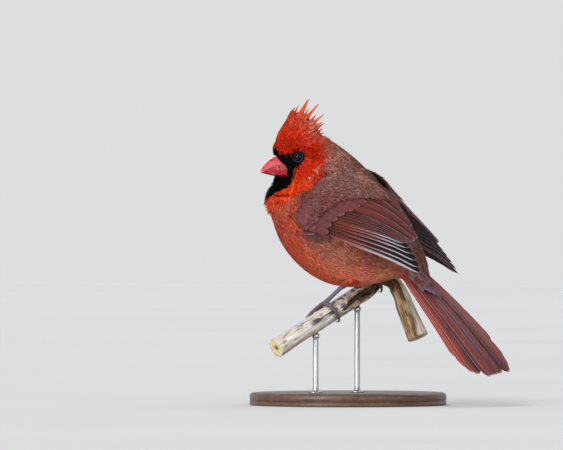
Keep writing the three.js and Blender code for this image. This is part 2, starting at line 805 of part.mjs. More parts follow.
// the body, parted across the neck, behind the shoulders' end and before the rump
const flesh = largest(minus(body, ...cut));
const parted = [
  ["head", null, 4.9, "red"],
  ["neck", 4.9, 6.6, "red"],
  ["trunk", 6.6, 12.2, "red"],
  ["rump", 12.2, null, "back"],
];
for (const [name, from, to, finish] of parted) {
  let s = flesh;
  if (from !== null) {
    const { p, n } = bodyPlane(from);
    s = halfSpace(s, p, n);
  }
  if (to !== null) {
    const { p, n } = bodyPlane(to);
    s = halfSpace(s, p, n.map((v) => -v));
  }
  add(name, largest(s), finish);
}

export default group;
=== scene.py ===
from math import pi, sin, cos, radians, sqrt

import bpy
import numpy as np
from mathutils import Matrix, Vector


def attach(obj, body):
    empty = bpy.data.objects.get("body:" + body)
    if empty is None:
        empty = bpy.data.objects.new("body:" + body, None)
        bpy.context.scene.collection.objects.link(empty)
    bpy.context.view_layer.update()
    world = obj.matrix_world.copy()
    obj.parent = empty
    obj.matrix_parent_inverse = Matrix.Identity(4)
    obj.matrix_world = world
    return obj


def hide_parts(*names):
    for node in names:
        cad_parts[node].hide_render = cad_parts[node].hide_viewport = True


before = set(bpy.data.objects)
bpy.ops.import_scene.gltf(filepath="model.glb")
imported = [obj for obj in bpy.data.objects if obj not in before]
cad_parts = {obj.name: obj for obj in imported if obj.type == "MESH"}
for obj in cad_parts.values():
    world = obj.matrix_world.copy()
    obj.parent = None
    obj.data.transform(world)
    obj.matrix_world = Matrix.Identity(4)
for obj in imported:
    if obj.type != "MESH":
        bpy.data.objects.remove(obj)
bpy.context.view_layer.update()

RNG = np.random.default_rng(20)
MM = 0.001

# ---------------------------------------------------------------- driving dimensions, as in the solids
HEAD_TURN = radians(24)
PIVOT_Y = -26.0
EYE_RADIUS = 3.5
EYE = (9.7, -33.75, 156.2)
TAIL_LENGTH = 102.0
TAIL_ROOT = np.array([0.0, 37.0, 94.4])
TAIL_TIP = np.array([-1.5, 107.0, 20.6])
RIBS = np.array([
    # back y, z     belly y, z    half   egg   turn
    [-50.0, 157.0, -43.4, 144.4, 4.6, 0.0, 1.0],    # bill base
    [-51.5, 159.9, -48.3, 141.4, 7.6, 0.1, 1.0],    # lores
    [-50.0, 165.9, -51.0, 136.8, 9.8, 0.18, 1.0],   # brow
    [-43.0, 170.9, -52.4, 131.6, 11.8, 0.26, 1.0],  # crown
    [-32.5, 172.2, -53.0, 126.0, 14.0, 0.33, 0.99], # ear
    [-20.5, 169.6, -52.4, 119.8, 17.0, 0.36, 0.8],  # nape
    [-7.5, 162.6, -49.8, 111.4, 21.6, 0.26, 0.4],   # neck base
    [5.5, 153.4, -45.4, 101.2, 25.4, 0.1, 0.1],     # shoulder
    [17.0, 143.2, -37.0, 90.8, 27.2, 0.0, 0.0],     # mantle
    [27.0, 132.6, -24.6, 81.6, 27.4, -0.02, 0.0],   # back
    [35.5, 122.6, -9.6, 75.8, 26.2, -0.02, 0.0],    # lower back
    [42.5, 113.0, 7.0, 74.6, 23.6, 0.0, 0.0],       # flank
    [48.5, 103.8, 22.5, 77.4, 19.4, 0.0, 0.0],      # rump
    [53.4, 95.0, 35.0, 80.2, 14.2, 0.0, 0.0],       # vent
    [56.8, 84.6, 46.0, 77.8, 9.4, 0.0, 0.0],       # tail coverts
    [59.6, 74.8, 55.8, 71.6, 4.6, 0.0, 0.0],        # tips of the coverts
])
NT = len(RIBS) - 1
CREST = np.array([  # height, front, back, half width
    [160.0, -51.6, -12.0, 8.6], [166.0, -50.3, -14.5, 8.0], [172.0, -47.6, -19.4, 6.5],
    [178.0, -43.8, -23.4, 4.8], [183.0, -41.0, -27.8, 3.3], [186.5, -38.8, -32.4, 1.9], [188.6, -37.6, -35.2, 0.8],
])
WISPS = [  # root y, z, tip y, z, root radius of the crest's separate points
    (-40.6, 182.0, -37.2, 188.3, 1.2),
    (-38.8, 181.3, -34.9, 189.4, 1.5), (-35.6, 181.6, -29.1, 193.1, 1.5), (-34.4, 181.6, -28.0, 193.6, 1.5), (-32.5, 181.0, -28.3, 187.3, 1.3),
    (-30.8, 180.4, -22.1, 190.1, 1.9), (-28.1, 177.9, -23.9, 183.4, 1.5), (-26.4, 177.5, -18.7, 183.5, 1.8), (-25.2, 175.6, -19.1, 178.9, 1.3),
    (-25.6, 173.3, -18.7, 177.7, 1.6), (-24.7, 171.1, -19.6, 174.6, 1.4), (-23.7, 169.0, -18.8, 172.1, 1.4), (-22.7, 167.0, -17.6, 169.8, 1.3),
]
THROAT_LOCKS = [  # root y, z, tip y, z, root radius of the loose locks of the throat
    (-52.0, 133.4, -57.0, 128.2, 1.2), (-52.6, 131.0, -57.0, 125.9, 1.1), (-52.4, 128.8, -56.2, 123.8, 1.2), (-51.8, 126.6, -55.2, 121.8, 1.1), (-51.4, 124.2, -54.2, 119.6, 1.1),
]
CREST_MASS = np.array([(-53.5, 156.0), (-52.2, 159.1), (-51.8, 162.5), (-50.4, 167.3), (-48.4, 171.1), (-45.5, 175.5), (-43.5, 178.9), (-42.2, 181.4), (-40.4, 184.6), (-38.9, 185.4), (-36.6, 182.4),
                       (-33.5, 180.6), (-30.5, 179.4), (-28.0, 177.4), (-26.0, 174.8), (-24.6, 172.2), (-23.0, 170.0), (-21.2, 168.4), (-18.6, 167.7), (-17.0, 167.6), (-13.8, 165.6), (-10.0, 162.8), (-8.0, 156.0)])


# ---------------------------------------------------------------- numbers
def lerp(a, b, t):
    return a + (b - a) * t


def smooth(a, b, x):
    t = np.clip((np.asarray(x, float) - a) / (b - a), 0, 1)
    return t * t * (3 - 2 * t)


def unit(v):
    return v / np.maximum(np.linalg.norm(v, axis=-1, keepdims=True), 1e-9)


def dot(a, b):
    return (a * b).sum(-1)


def cr(t, A):
    """Catmull-Rom through the rows of A."""
    t = np.asarray(t, float)
    i = np.clip(np.floor(t).astype(int), 0, len(A) - 2)
    f = (t - i)[..., None]
    p1, p2 = A[i], A[i + 1]
    p0 = np.where((i > 0)[..., None], A[np.maximum(i - 1, 0)], 2 * p1 - p2)
    p3 = np.where((i + 2 < len(A))[..., None], A[np.minimum(i + 2, len(A) - 1)], 2 * p2 - p1)
    return 0.5 * (2 * p1 + (-p0 + p2) * f + (2 * p0 - 5 * p1 + 4 * p2 - p3) * f * f + (-p0 + 3 * p1 - 3 * p2 + p3) * f**3)


def turn_head(P, share=1.0):
    a = HEAD_TURN * np.asarray(share, float)
    x, v = P[..., 0], P[..., 1] - PIVOT_Y
    return np.stack([x * np.cos(a) - v * np.sin(a), x * np.sin(a) + v * np.cos(a) + PIVOT_Y, P[..., 2] + 0 * a], -1)


def _hash(i, j, k, seed):
    n = (i * 374761393 + j * 668265263 + k * 2147483647 + seed * 974634777) & 0xFFFFFFFF
    n = ((n ^ (n >> 13)) * 1274126177) & 0xFFFFFFFF
    return ((n ^ (n >> 16)) & 0xFFFF) / 65535.0


def noise(P, size, seed=0):
    """Smooth value noise, 0 to 1, over points in mm."""
    q = np.asarray(P, float) / size
    i = np.floor(q).astype(np.int64)
    f = q - i
    f = f * f * (3 - 2 * f)
    out = 0
    for dx in (0, 1):
        for dy in (0, 1):
            for dz in (0, 1):
                w = (f[..., 0] if dx else 1 - f[..., 0]) * (f[..., 1] if dy else 1 - f[..., 1]) * (f[..., 2] if dz else 1 - f[..., 2])
                out = out + w * _hash(i[..., 0] + dx, i[..., 1] + dy, i[..., 2] + dz, seed)
    return out


def lin(*rgb):
    """Linear colour of an sRGB colour given in 0 to 255."""
    c = np.array(rgb, float) / 255
    return np.where(c <= 0.04045, c / 12.92, ((c + 0.055) / 1.055) ** 2.4)


def mix(a, b, t):
    t = np.asarray(t, float)[..., None]
    return a * (1 - t) + b * t


# ---------------------------------------------------------------- bill's outline, in the head's own frame (y, z), and the face that meets it
CULMEN = np.array([[-46.8, 157.9], [-50.6, 157.7], [-53.8, 155.7], [-57.0, 152.6], [-59.6, 149.1], [-61.15, 146.35]])
TOMIUM = np.array([[-38.6, 148.2], [-44.0, 149.4], [-49.2, 150.2], [-53.6, 148.9], [-58.2, 147.4], [-61.1, 146.2]])
GONYS = np.array([[-39.6, 143.2], [-44.4, 143.6], [-49.6, 144.1], [-54.0, 145.0], [-57.4, 145.9], [-59.6, 146.5]])
BILL_HALF = np.array([[6.4], [6.0], [4.9], [3.6], [2.0], [0.25]])


def bill_point(k, a, upper, grow=0.0):
    """A point of the bill's surface: k from root to tip, a 0 to pi from the left edge over the ridge to the right one."""
    k, a = np.broadcast_arrays(np.asarray(k, float), np.asarray(a, float))
    w = cr(k, BILL_HALF)[..., 0]
    edge, ridge = cr(k, TOMIUM), cr(k, CULMEN if upper else GONYS)
    if upper:
        edge = edge + np.array([0, 0.12])
    else:
        w = w * 0.93
        edge = edge + np.stack([np.interp(k, range(6), [0, 0, 0, 0, 0.6, 1.6]), -0.12 + 0 * k], -1)
    yz = edge + (ridge - edge) * (np.sin(np.clip(a, 0, pi)) ** 0.85)[..., None]
    return np.stack([(w + grow) * np.cos(a), yz[..., 0], yz[..., 1]], -1)


def bill_root(z):
    """How far back the bare bill shows at each height."""
    return np.interp(z, [142.2, 143.6, 149.2, 158.6], [-46.0, -42.8, -41.9, -50.8])


_k, _a = np.meshgrid(np.linspace(0, 4.7, 70), np.linspace(0, pi / 2, 26), indexing="ij")
_b = np.concatenate([bill_point(_k, _a, True).reshape(-1, 3), bill_point(_k, _a, False).reshape(-1, 3)])
_b = _b[_b[:, 1] < bill_root(_b[:, 2])]
FACE_Y, FACE_Z = np.arange(-66, -30.9, 0.5), np.arange(130, 176.1, 0.5)
_d = np.hypot(FACE_Y[:, None, None] - _b[:, 1], FACE_Z[None, :, None] - _b[:, 2])
_i = _d.argmin(-1)
BILL_GAP = np.maximum(0, _d.min(-1) - 0.4)
FACE_LIMIT = _b[_i, 0] + np.where(BILL_GAP > 0, 0.1, -0.9) + 1.05 * BILL_GAP
for _ in range(2):
    FACE_LIMIT[1:-1, 1:-1] = (FACE_LIMIT[1:-1, 1:-1] * 2 + FACE_LIMIT[:-2, 1:-1] + FACE_LIMIT[2:, 1:-1] + FACE_LIMIT[1:-1, :-2] + FACE_LIMIT[1:-1, 2:]) / 6


def on_face(grid, y, z):
    """Bilinear value of a face table at (y, z)."""
    u, v = np.clip((y + 66) / 0.5, 0, len(FACE_Y) - 1.001), np.clip((z - 130) / 0.5, 0, len(FACE_Z) - 1.001)
    i, j = np.floor(u).astype(int), np.floor(v).astype(int)
    u, v = u - i, v - j
    return (grid[i, j] * (1 - u) + grid[i + 1, j] * u) * (1 - v) + (grid[i, j + 1] * (1 - u) + grid[i + 1, j + 1] * u) * v


def dish(rho):
    """How high the face may stand at a distance from the eye's axis."""
    return 0.95 + 0.62 * np.maximum(0, rho - 3.3) ** 1.15


def hollow_eyes(P):
    """Presses the face in round the eyes, in the head's own frame."""
    ax = unit(np.array([0.965, -0.2, 0.06]))
    Q = P * np.where(P[..., :1] < 0, np.array([-1, 1, 1.0]), 1.0)
    d = Q - np.array(EYE)
    k = dot(d, ax)
    rho = np.linalg.norm(d - k[..., None] * ax, axis=-1)
    cap = dish(rho)
    h = np.clip(0.5 + 0.5 * (cap - k) / 0.8, 0, 1)
    low = cap * (1 - h) + k * h - 0.8 * h * (1 - h)
    use = (rho < 7.0) & (k > -3)
    shift = np.where(use, low - k, 0.0) * smooth(7.0, 5.4, rho)
    Q = Q + ax * shift[..., None]
    return Q * np.where(P[..., :1] < 0, np.array([-1, 1, 1.0]), 1.0)


def pinch(P):
    """Narrows the face towards the bill's sides and round the eyes."""
    near = (P[..., 1] < -33) & (P[..., 2] > 131) & (P[..., 2] < 175)
    x = np.abs(P[..., 0])
    lim = np.where(near, on_face(FACE_LIMIT, P[..., 1], P[..., 2]), 99)
    h = np.clip(0.5 + 0.5 * (lim - x) / 1.4, 0, 1)
    x = np.maximum(0, lim * (1 - h) + x * h - 1.4 * h * (1 - h))
    P = np.stack([np.where(near, np.sign(P[..., 0]) * x, P[..., 0]), P[..., 1], P[..., 2]], -1)
    eye = near & (P[..., 1] > -42) & (P[..., 2] > 148) & (P[..., 2] < 165)
    wide = (P[..., 1] >= -33) & (P[..., 1] < -25) & (P[..., 2] > 148) & (P[..., 2] < 165)
    eye = eye | wide
    if eye.any():
        P[eye] = hollow_eyes(P[eye])
    return P


# ---------------------------------------------------------------- body surface
def body(t, phi, off=0.0, turned=True):
    """A point on the feathered body: t from bill to tail, phi 0 the left side and 90 degrees the back."""
    t, phi = np.broadcast_arrays(np.asarray(t, float), np.asarray(phi, float))
    r = cr(np.clip(t, 0, NT - 1e-6), RIBS)
    ty, tz, by, bz, w, egg, turn = [r[..., k] for k in range(7)]
    h = np.hypot(ty - by, tz - bz) / 2
    s = np.sin(phi)
    k = (h + off) * s
    P = pinch(np.stack([(w + off) * np.cos(phi) * (1 - egg * s), (ty + by) / 2 + (ty - by) / (2 * h) * k, (tz + bz) / 2 + (tz - bz) / (2 * h) * k], -1))
    return turn_head(P, turn) if turned else P


def body_frame(t, phi):
    """Point, tangents along t and phi, and outward normal."""
    e = 1e-3
    t = np.clip(t, 2e-3, NT - 2e-3)
    P = body(t, phi)
    a = (body(t + e, phi) - body(t - e, phi)) / (2 * e)
    b = (body(t, phi + e) - body(t, phi - e)) / (2 * e)
    return P, a, b, unit(np.cross(a, b))


def walk(t, phi, D, dist, steps=3):
    """Moves over the body by dist mm along the direction D projected on the surface; D may be a function of (t, phi)."""
    for _ in range(steps):
        P, a, b, n = body_frame(t, phi)
        d = D(t, phi, P, a, b, n) if callable(D) else D
        d = unit(d - dot(d, n)[..., None] * n)
        v = d * (np.asarray(dist, float) / steps)[..., None]
        aa, bb, ab = dot(a, a), np.maximum(dot(b, b), 0.5), dot(a, b)
        va, vb = dot(v, a), dot(v, b)
        det = np.maximum(aa * bb - ab * ab, 1e-6)
        t = np.clip(t + np.clip((va * bb - vb * ab) / det, -1.2, 1.2), 0, NT - 1e-4)
        phi = phi + np.clip((vb * aa - va * ab) / det, -0.7, 0.7)
    return t, phi


# ---------------------------------------------------------------- wing sheet, left side (x is mirrored for the right)
WING_LOW = np.array([[26.4, -21.0, 113.4], [30.6, 1.2, 104.4], [30.8, 24.0, 97.6], [27.4, 51.0, 89.0], [22.4, 70.8, 79.6]])
WING_TOP = np.array([[17.0, -10.0, 141.6], [15.0, 10.0, 140.8], [11.5, 26.6, 129.4], [9.4, 42.6, 116.6], [8.6, 58.6, 101.6]])
WING_BULGE = np.array([[3.6], [4.6], [4.2], [2.6], [1.6]])


def _sheet(x, y):
    xm = np.minimum(x, 3.9999)
    L, U = cr(xm, WING_LOW), cr(xm, WING_TOP)
    q = cr(xm, WING_BULGE)[..., 0] * 4 * y * (1 - y)
    c = U - L
    m = np.clip(x, 0.02, 3.96)
    n = unit(np.cross(cr(m + 0.02, WING_LOW) - cr(m - 0.02, WING_LOW), c))
    return L + c * y[..., None] + n * q[..., None] + np.maximum(0, x - 3.9999)[..., None] * np.array([0, 15.0, -5.0])


def wing(a, b, h=0.0, side=1):
    """A point over the wing's sheet: a from shoulder to tip, b from lower to upper edge, h mm outwards."""
    a, b, h = np.broadcast_arrays(np.asarray(a, float), np.asarray(b, float), np.asarray(h, float))
    e = 0.02
    n = unit(np.cross(_sheet(a + e, b) - _sheet(a - e, b), _sheet(a, b + e) - _sheet(a, b - e)))
    P = _sheet(a, b) + n * h[..., None]
    return P * np.array([side, 1, 1.0])


_wa, _wb = np.meshgrid(np.linspace(-0.3, 4.1, 67), np.linspace(-0.1, 1.06, 25), indexing="ij")
_wp = wing(_wa, _wb).reshape(-1, 3).astype(np.float32)
_wn = (wing(_wa, _wb, 1.0) - wing(_wa, _wb)).reshape(-1, 3)
_wab = np.stack([_wa.ravel(), _wb.ravel()], -1)


def on_wing(P):
    """Nearest wing coordinates (a, b) and height h over the sheet for points on either side."""
    Q = np.asarray(P, float).reshape(-1, 3).copy()
    Q[:, 0] = np.abs(Q[:, 0])
    best = np.zeros(len(Q), int)
    for i in range(0, len(Q), 4000):
        q = Q[i:i + 4000].astype(np.float32)
        d = (q * q).sum(1)[:, None] - 2 * q @ _wp.T + (_wp * _wp).sum(1)[None]
        best[i:i + 4000] = d.argmin(1)
    h = dot(Q - _wp[best], _wn[best])
    away = np.linalg.norm(Q - _wp[best] - _wn[best] * h[:, None], axis=1)
    s = np.asarray(P).shape[:-1]
    return _wab[best, 0].reshape(s), _wab[best, 1].reshape(s), h.reshape(s), _wn[best].reshape(s + (3,)), away.reshape(s)


def tuck(P, depth):
    """Draws the body in under the folded wings, so that it stays at least depth below their sheets."""
    a, b, h, n, away = on_wing(P)
    n = n * np.where(P[..., :1] < 0, np.array([-1, 1, 1.0]), np.array([1, 1, 1.0]))
    inside = smooth(6.0, 2.0, away) * smooth(-0.2, 0.1, b + 0.1) * smooth(1.16, 1.0, b) * smooth(-0.34, 0.1, a)
    over = np.maximum(0, h + depth)
    return P - n * (np.minimum(over, 9) * inside)[..., None]


# ---------------------------------------------------------------- meshes
def build(name, V, F, colour=None, uvs=None, flat=False):
    """A mesh object from vertices in mm and a list of face arrays (each n x 3 or n x 4), with a colour per vertex and corner maps by name."""
    F = [np.asarray(f, np.int32) for f in (F if isinstance(F, (list, tuple)) else [F]) if len(f)]
    me = bpy.data.meshes.new(name)
    V = np.asarray(V, float)
    me.vertices.add(len(V))
    me.vertices.foreach_set("co", (V * MM).astype(np.float32).ravel())
    loops = np.concatenate([f.ravel() for f in F])
    sizes = np.concatenate([np.full(len(f), f.shape[1], np.int32) for f in F])
    me.loops.add(len(loops))
    me.loops.foreach_set("vertex_index", loops)
    me.polygons.add(len(sizes))
    me.polygons.foreach_set("loop_start", np.concatenate([[0], np.cumsum(sizes)[:-1]]).astype(np.int32))
    me.polygons.foreach_set("use_smooth", np.full(len(sizes), not flat))
    if colour is not None:
        c = np.ones((len(V), 4), np.float32)
        c[:, :3] = np.clip(colour, 0, 1)
        at = me.color_attributes.new("Col", "FLOAT_COLOR", "POINT")
        at.data.foreach_set("color", c.ravel())
    for n, uv in (uvs or {}).items():
        layer = me.uv_layers.new(name=n)
        layer.data.foreach_set("uv", np.asarray(uv, np.float32)[loops].ravel())
    me.update(calc_edges=True)
    me.validate()
    ob = bpy.data.objects.new(name, me)
    bpy.context.scene.collection.objects.link(ob)
    return ob


def tube_faces(rings, n, closed_ends=True):
    """Faces of rings of n vertices each, with end caps as fans about two extra vertices appended last."""
    i, j = np.meshgrid(np.arange(rings - 1), np.arange(n), indexing="ij")
    a, b = i * n + j, i * n + (j + 1) % n
    F = [np.stack([a, b, b + n, a + n], -1).reshape(-1, 4)]
    if closed_ends:
        k = np.arange(n)
        F.append(np.stack([np.full(n, rings * n), (k + 1) % n, k], -1))
        F.append(np.stack([np.full(n, rings * n + 1), (rings - 1) * n + k, (rings - 1) * n + (k + 1) % n], -1))
    return F


def sweep(points, radii, n=16, up=(0, 0, 1), shape=None):
    """Vertices of a tube along points; radii are (across, thick) pairs; shape(i, angles) may give a factor for each ring vertex."""
    P = np.asarray(points, float)
    T = unit(np.gradient(P, axis=0))
    side = unit(np.cross(np.asarray(up, float), T[0]))
    rings = []
    ang = 2 * pi * np.arange(n) / n
    for i in range(len(P)):
        side = unit(side - dot(side, T[i]) * T[i])
        nr = np.cross(T[i], side)
        f = shape(i, ang) if shape else np.ones(n)
        rings.append(P[i] + (side[None] * (radii[i][0] * np.cos(ang) * f)[:, None]) + nr[None] * (radii[i][1] * np.sin(ang) * f)[:, None])
    V = np.concatenate(rings + [P[:1], P[-1:]])
    return V


def merge(parts):
    """Joins (V, F list, colours, uvs) parts into one."""
    Vs, Fs, Cs, Us, base = [], {}, [], {}, 0
    for V, F, C, U in parts:
        for f in F:
            f = np.asarray(f)
            if len(f):
                Fs.setdefault(f.shape[1], []).append(f + base)
        Vs.append(V)
        Cs.append(C)
        for k, u in U.items():
            Us.setdefault(k, []).append(u)
        base += len(V)
    return np.concatenate(Vs), [np.concatenate(f) for f in Fs.values()], np.concatenate(Cs), {k: np.concatenate(u) for k, u in Us.items()}


# ---------------------------------------------------------------- materials
class Nodes:
    """A short way to write a material's nodes."""

    def __init__(self, name, **values):
        self.mat = bpy.data.materials.new(name)
        self.mat.use_nodes = True
        self.tree = self.mat.node_tree
        self.bsdf = next(n for n in self.tree.nodes if n.type == "BSDF_PRINCIPLED")
        for k, v in values.items():
            self.bsdf.inputs[k.replace("_", " ")].default_value = v

    def add(self, kind, link=(), **props):
        n = self.tree.nodes.new("ShaderNode" + kind)
        for k, v in props.items():
            if k.startswith("in"):
                n.inputs[int(k[2:])].default_value = v
            else:
                setattr(n, k, v)
        for socket, source in link:
            self.tree.links.new(source, n.inputs[socket])
        return n

    def to(self, socket, source):
        self.tree.links.new(source, self.bsdf.inputs[socket])

    def math(self, op, a, b=0.0):
        n = self.add("Math", operation=op)
        for i, v in enumerate((a, b)):
            if hasattr(v, "is_output"):
                self.tree.links.new(v, n.inputs[i])
            else:
                n.inputs[i].default_value = v
        return n.outputs[0]

    def noise(self, scale, detail=4, stretch=None, rough=0.55):
        co = self.add("TexCoord").outputs["Object"]
        if stretch:
            co = self.add("Mapping", [(0, co)]).outputs[0]
            m = co.node
            m.inputs["Scale"].default_value = stretch
        n = self.add("TexNoise", [("Vector", co)])
        n.inputs["Scale"].default_value = scale
        n.inputs["Detail"].default_value = detail
        n.inputs["Roughness"].default_value = rough
        return n.outputs[0]

    def ramp(self, source, *stops):
        n = self.add("ValToRGB", [(0, source)])
        e = n.color_ramp.elements
        while len(e) < len(stops):
            e.new(0.5)
        for el, (p, c) in zip(e, stops):
            el.position = p
            el.color = (*c, 1) if hasattr(c, "__len__") else (c, c, c, 1)
        return n.outputs[0]

    def mix(self, factor, a, b, kind="MIX"):
        n = self.add("Mix", data_type="RGBA", blend_type=kind)
        for i, v in ((0, factor), (6, a), (7, b)):
            if hasattr(v, "is_output"):
                self.tree.links.new(v, n.inputs[i])
            else:
                n.inputs[i].default_value = v if not hasattr(v, "__len__") else (*v, 1)[:4]
        return n.outputs[2]

    def bump(self, height, strength=0.4, distance=0.0002):
        n = self.add("Bump", [("Height", height)])
        n.inputs["Strength"].default_value = strength
        n.inputs["Distance"].default_value = distance
        self.to("Normal", n.outputs[0])


def painted(name, rough=0.7, vary=0.14, fine=2600, bump=0.25, distance=0.00008, sheen=0.0, spec=0.35, rough_vary=0.1, stretch=None):
    """A finish whose colour is painted on the mesh, with fine mottling, uneven gloss and relief."""
    m = Nodes(name, Roughness=rough, Specular_IOR_Level=spec)
    if sheen:
        m.bsdf.inputs["Sheen Weight"].default_value = sheen
        m.bsdf.inputs["Sheen Roughness"].default_value = 0.45
    col = m.add("VertexColor", layer_name="Col").outputs[0]
    grain = m.noise(fine, 3, stretch)
    tone = m.ramp(grain, (0.25, 1 - vary), (0.75, 1 + 0.0))
    m.to("Base Color", m.mix(1.0, col, tone, "MULTIPLY"))
    m.to("Roughness", m.ramp(grain, (0.3, max(0.02, rough - rough_vary)), (0.7, min(1, rough + rough_vary))))
    m.bump(grain, bump, distance)
    return m


def vane_material(name, rough=0.55, barb=0.42, spec=0.4, depth=0.00007):
    """Feather vane: painted colour, with barbs running out and forward from the shaft. The map "vane" holds millimetres over 100."""
    m = Nodes(name, Roughness=rough, Specular_IOR_Level=spec)
    col = m.add("VertexColor", layer_name="Col").outputs[0]
    uv = m.add("UVMap", uv_map="vane").outputs[0]
    xyz = m.add("SeparateXYZ", [(0, uv)])
    u = m.math("MULTIPLY", m.math("ABSOLUTE", m.math("SUBTRACT", xyz.outputs[0], 0.5)), 100.0)
    v = m.math("MULTIPLY", xyz.outputs[1], 100.0)
    wob = m.math("MULTIPLY", m.noise(300, 2), 0.5)
    phase = m.math("MULTIPLY", m.math("ADD", m.math("SUBTRACT", v, m.math("MULTIPLY", u, 1.25)), wob), 2 * pi / barb)
    wave = m.math("ADD", m.math("MULTIPLY", m.math("SINE", phase), 0.5), 0.5)
    tone = m.ramp(wave, (0.0, 0.8), (0.85, 1.0))
    blotch = m.ramp(m.noise(420, 3), (0.3, 0.86), (0.7, 1.0))
    m.to("Base Color", m.mix(1.0, m.mix(1.0, col, tone, "MULTIPLY"), blotch, "MULTIPLY"))
    m.to("Roughness", m.ramp(wave, (0.0, rough + 0.14), (1.0, rough - 0.08)))
    m.bump(wave, 0.5, depth)
    return m


def give(ob, m, slot, *nodes):
    ob.data.materials.clear()
    ob.data.materials.append(m.mat if hasattr(m, "mat") else m)
    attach(ob, "root")
    if nodes:
        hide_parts(*nodes)
    return ob


MAT_COAT = painted("feather_barbs", rough=0.72, vary=0.12, fine=1500, bump=0.2, spec=0.08)
MAT_SKIN = painted("plumage_ground", rough=0.9, vary=0.3, fine=900, bump=0.6, distance=0.0003, spec=0.05)
MAT_WING = vane_material("flight_feather", 0.58, spec=0.14)
MAT_TAIL = vane_material("tail_feather", 0.58, barb=0.46, spec=0.12)
MAT_COVERT = vane_material("covert_feather", 0.66, barb=0.36, spec=0.08)


# ---------------------------------------------------------------- camera: level, at the photograph's angle
AZ = radians(32)
LOOK = np.array([-cos(AZ), -sin(AZ), 0.0])  # into the picture
RIGHT = np.array([-sin(AZ), cos(AZ), 0.0])
FRAME_W = 563 * 0.63  # mm across the picture at the bird
AWAY = 5000.0
aim = RIGHT * -41.9 + np.array([0, 0, 113.4])
cam = bpy.data.objects.new("camera", bpy.data.cameras.new("camera"))
bpy.context.scene.collection.objects.link(cam)
cam.location = Vector((aim - LOOK * AWAY) * MM)
cam.rotation_mode = "QUATERNION"
cam.rotation_quaternion = Vector(LOOK).to_track_quat("-Z", "Y")
cam.data.sensor_width = 36.0
cam.data.lens = 36.0 * AWAY / FRAME_W
cam.data.clip_start, cam.data.clip_end = 0.1, 60
bpy.context.scene.camera = cam

# ---------------------------------------------------------------- markings, shared by skin and coat
MASK = np.array([(-54.0, 162.6), (-50.2, 162.0), (-48.0, 160.4), (-46.5, 158.6), (-44.6, 157.3), (-41.7, 157.3), (-39.3, 159.0), (-37.3, 159.8), (-34.9, 160.0), (-32.0, 158.8), (-30.4, 156.8),
                 (-32.0, 154.3), (-33.6, 152.4), (-35.2, 150.6), (-35.8, 148.9), (-36.1, 146.4), (-37.0, 143.6), (-37.6, 140.9), (-39.4, 138.2), (-42.2, 136.4), (-45.4, 135.2), (-48.6, 134.2), (-53.0, 133.0), (-58.0, 131.6), (-62.0, 150.0)])
C = {k: lin(*v) for k, v in dict(
    crown=(178, 35, 4), forehead=(184, 32, 4), crest=(180, 63, 38), crest_tip=(222, 88, 48), crest_pink=(200, 118, 98), cheek=(202, 44, 10), cheek_low=(236, 66, 23),
    mask=(4, 4, 6), nape=(158, 101, 89), mantle=(129, 88, 80), back=(128, 88, 81), rump=(128, 78, 66), tail_cov=(148, 88, 84),
    breast=(218, 96, 70), breast_low=(230, 92, 62), belly=(255, 108, 74), belly_pale=(255, 148, 110), flank=(212, 116, 90), vent=(255, 104, 76),
    shoulder=(110, 64, 58), gape=(96, 52, 44), grey=(150, 130, 126), pale=(214, 176, 160), dark=(50, 26, 24), under=(86, 62, 58), edge=(228, 88, 48)).items()}


def inside(y, z, poly):
    hit = np.zeros(np.shape(y), bool)
    for (y0, z0), (y1, z1) in zip(poly, np.roll(poly, -1, 0)):
        c = ((z0 > z) != (z1 > z)) & (y < (y1 - y0) * (z - z0) / (z1 - z0 + 1e-9) + y0)
        hit ^= c
    return hit


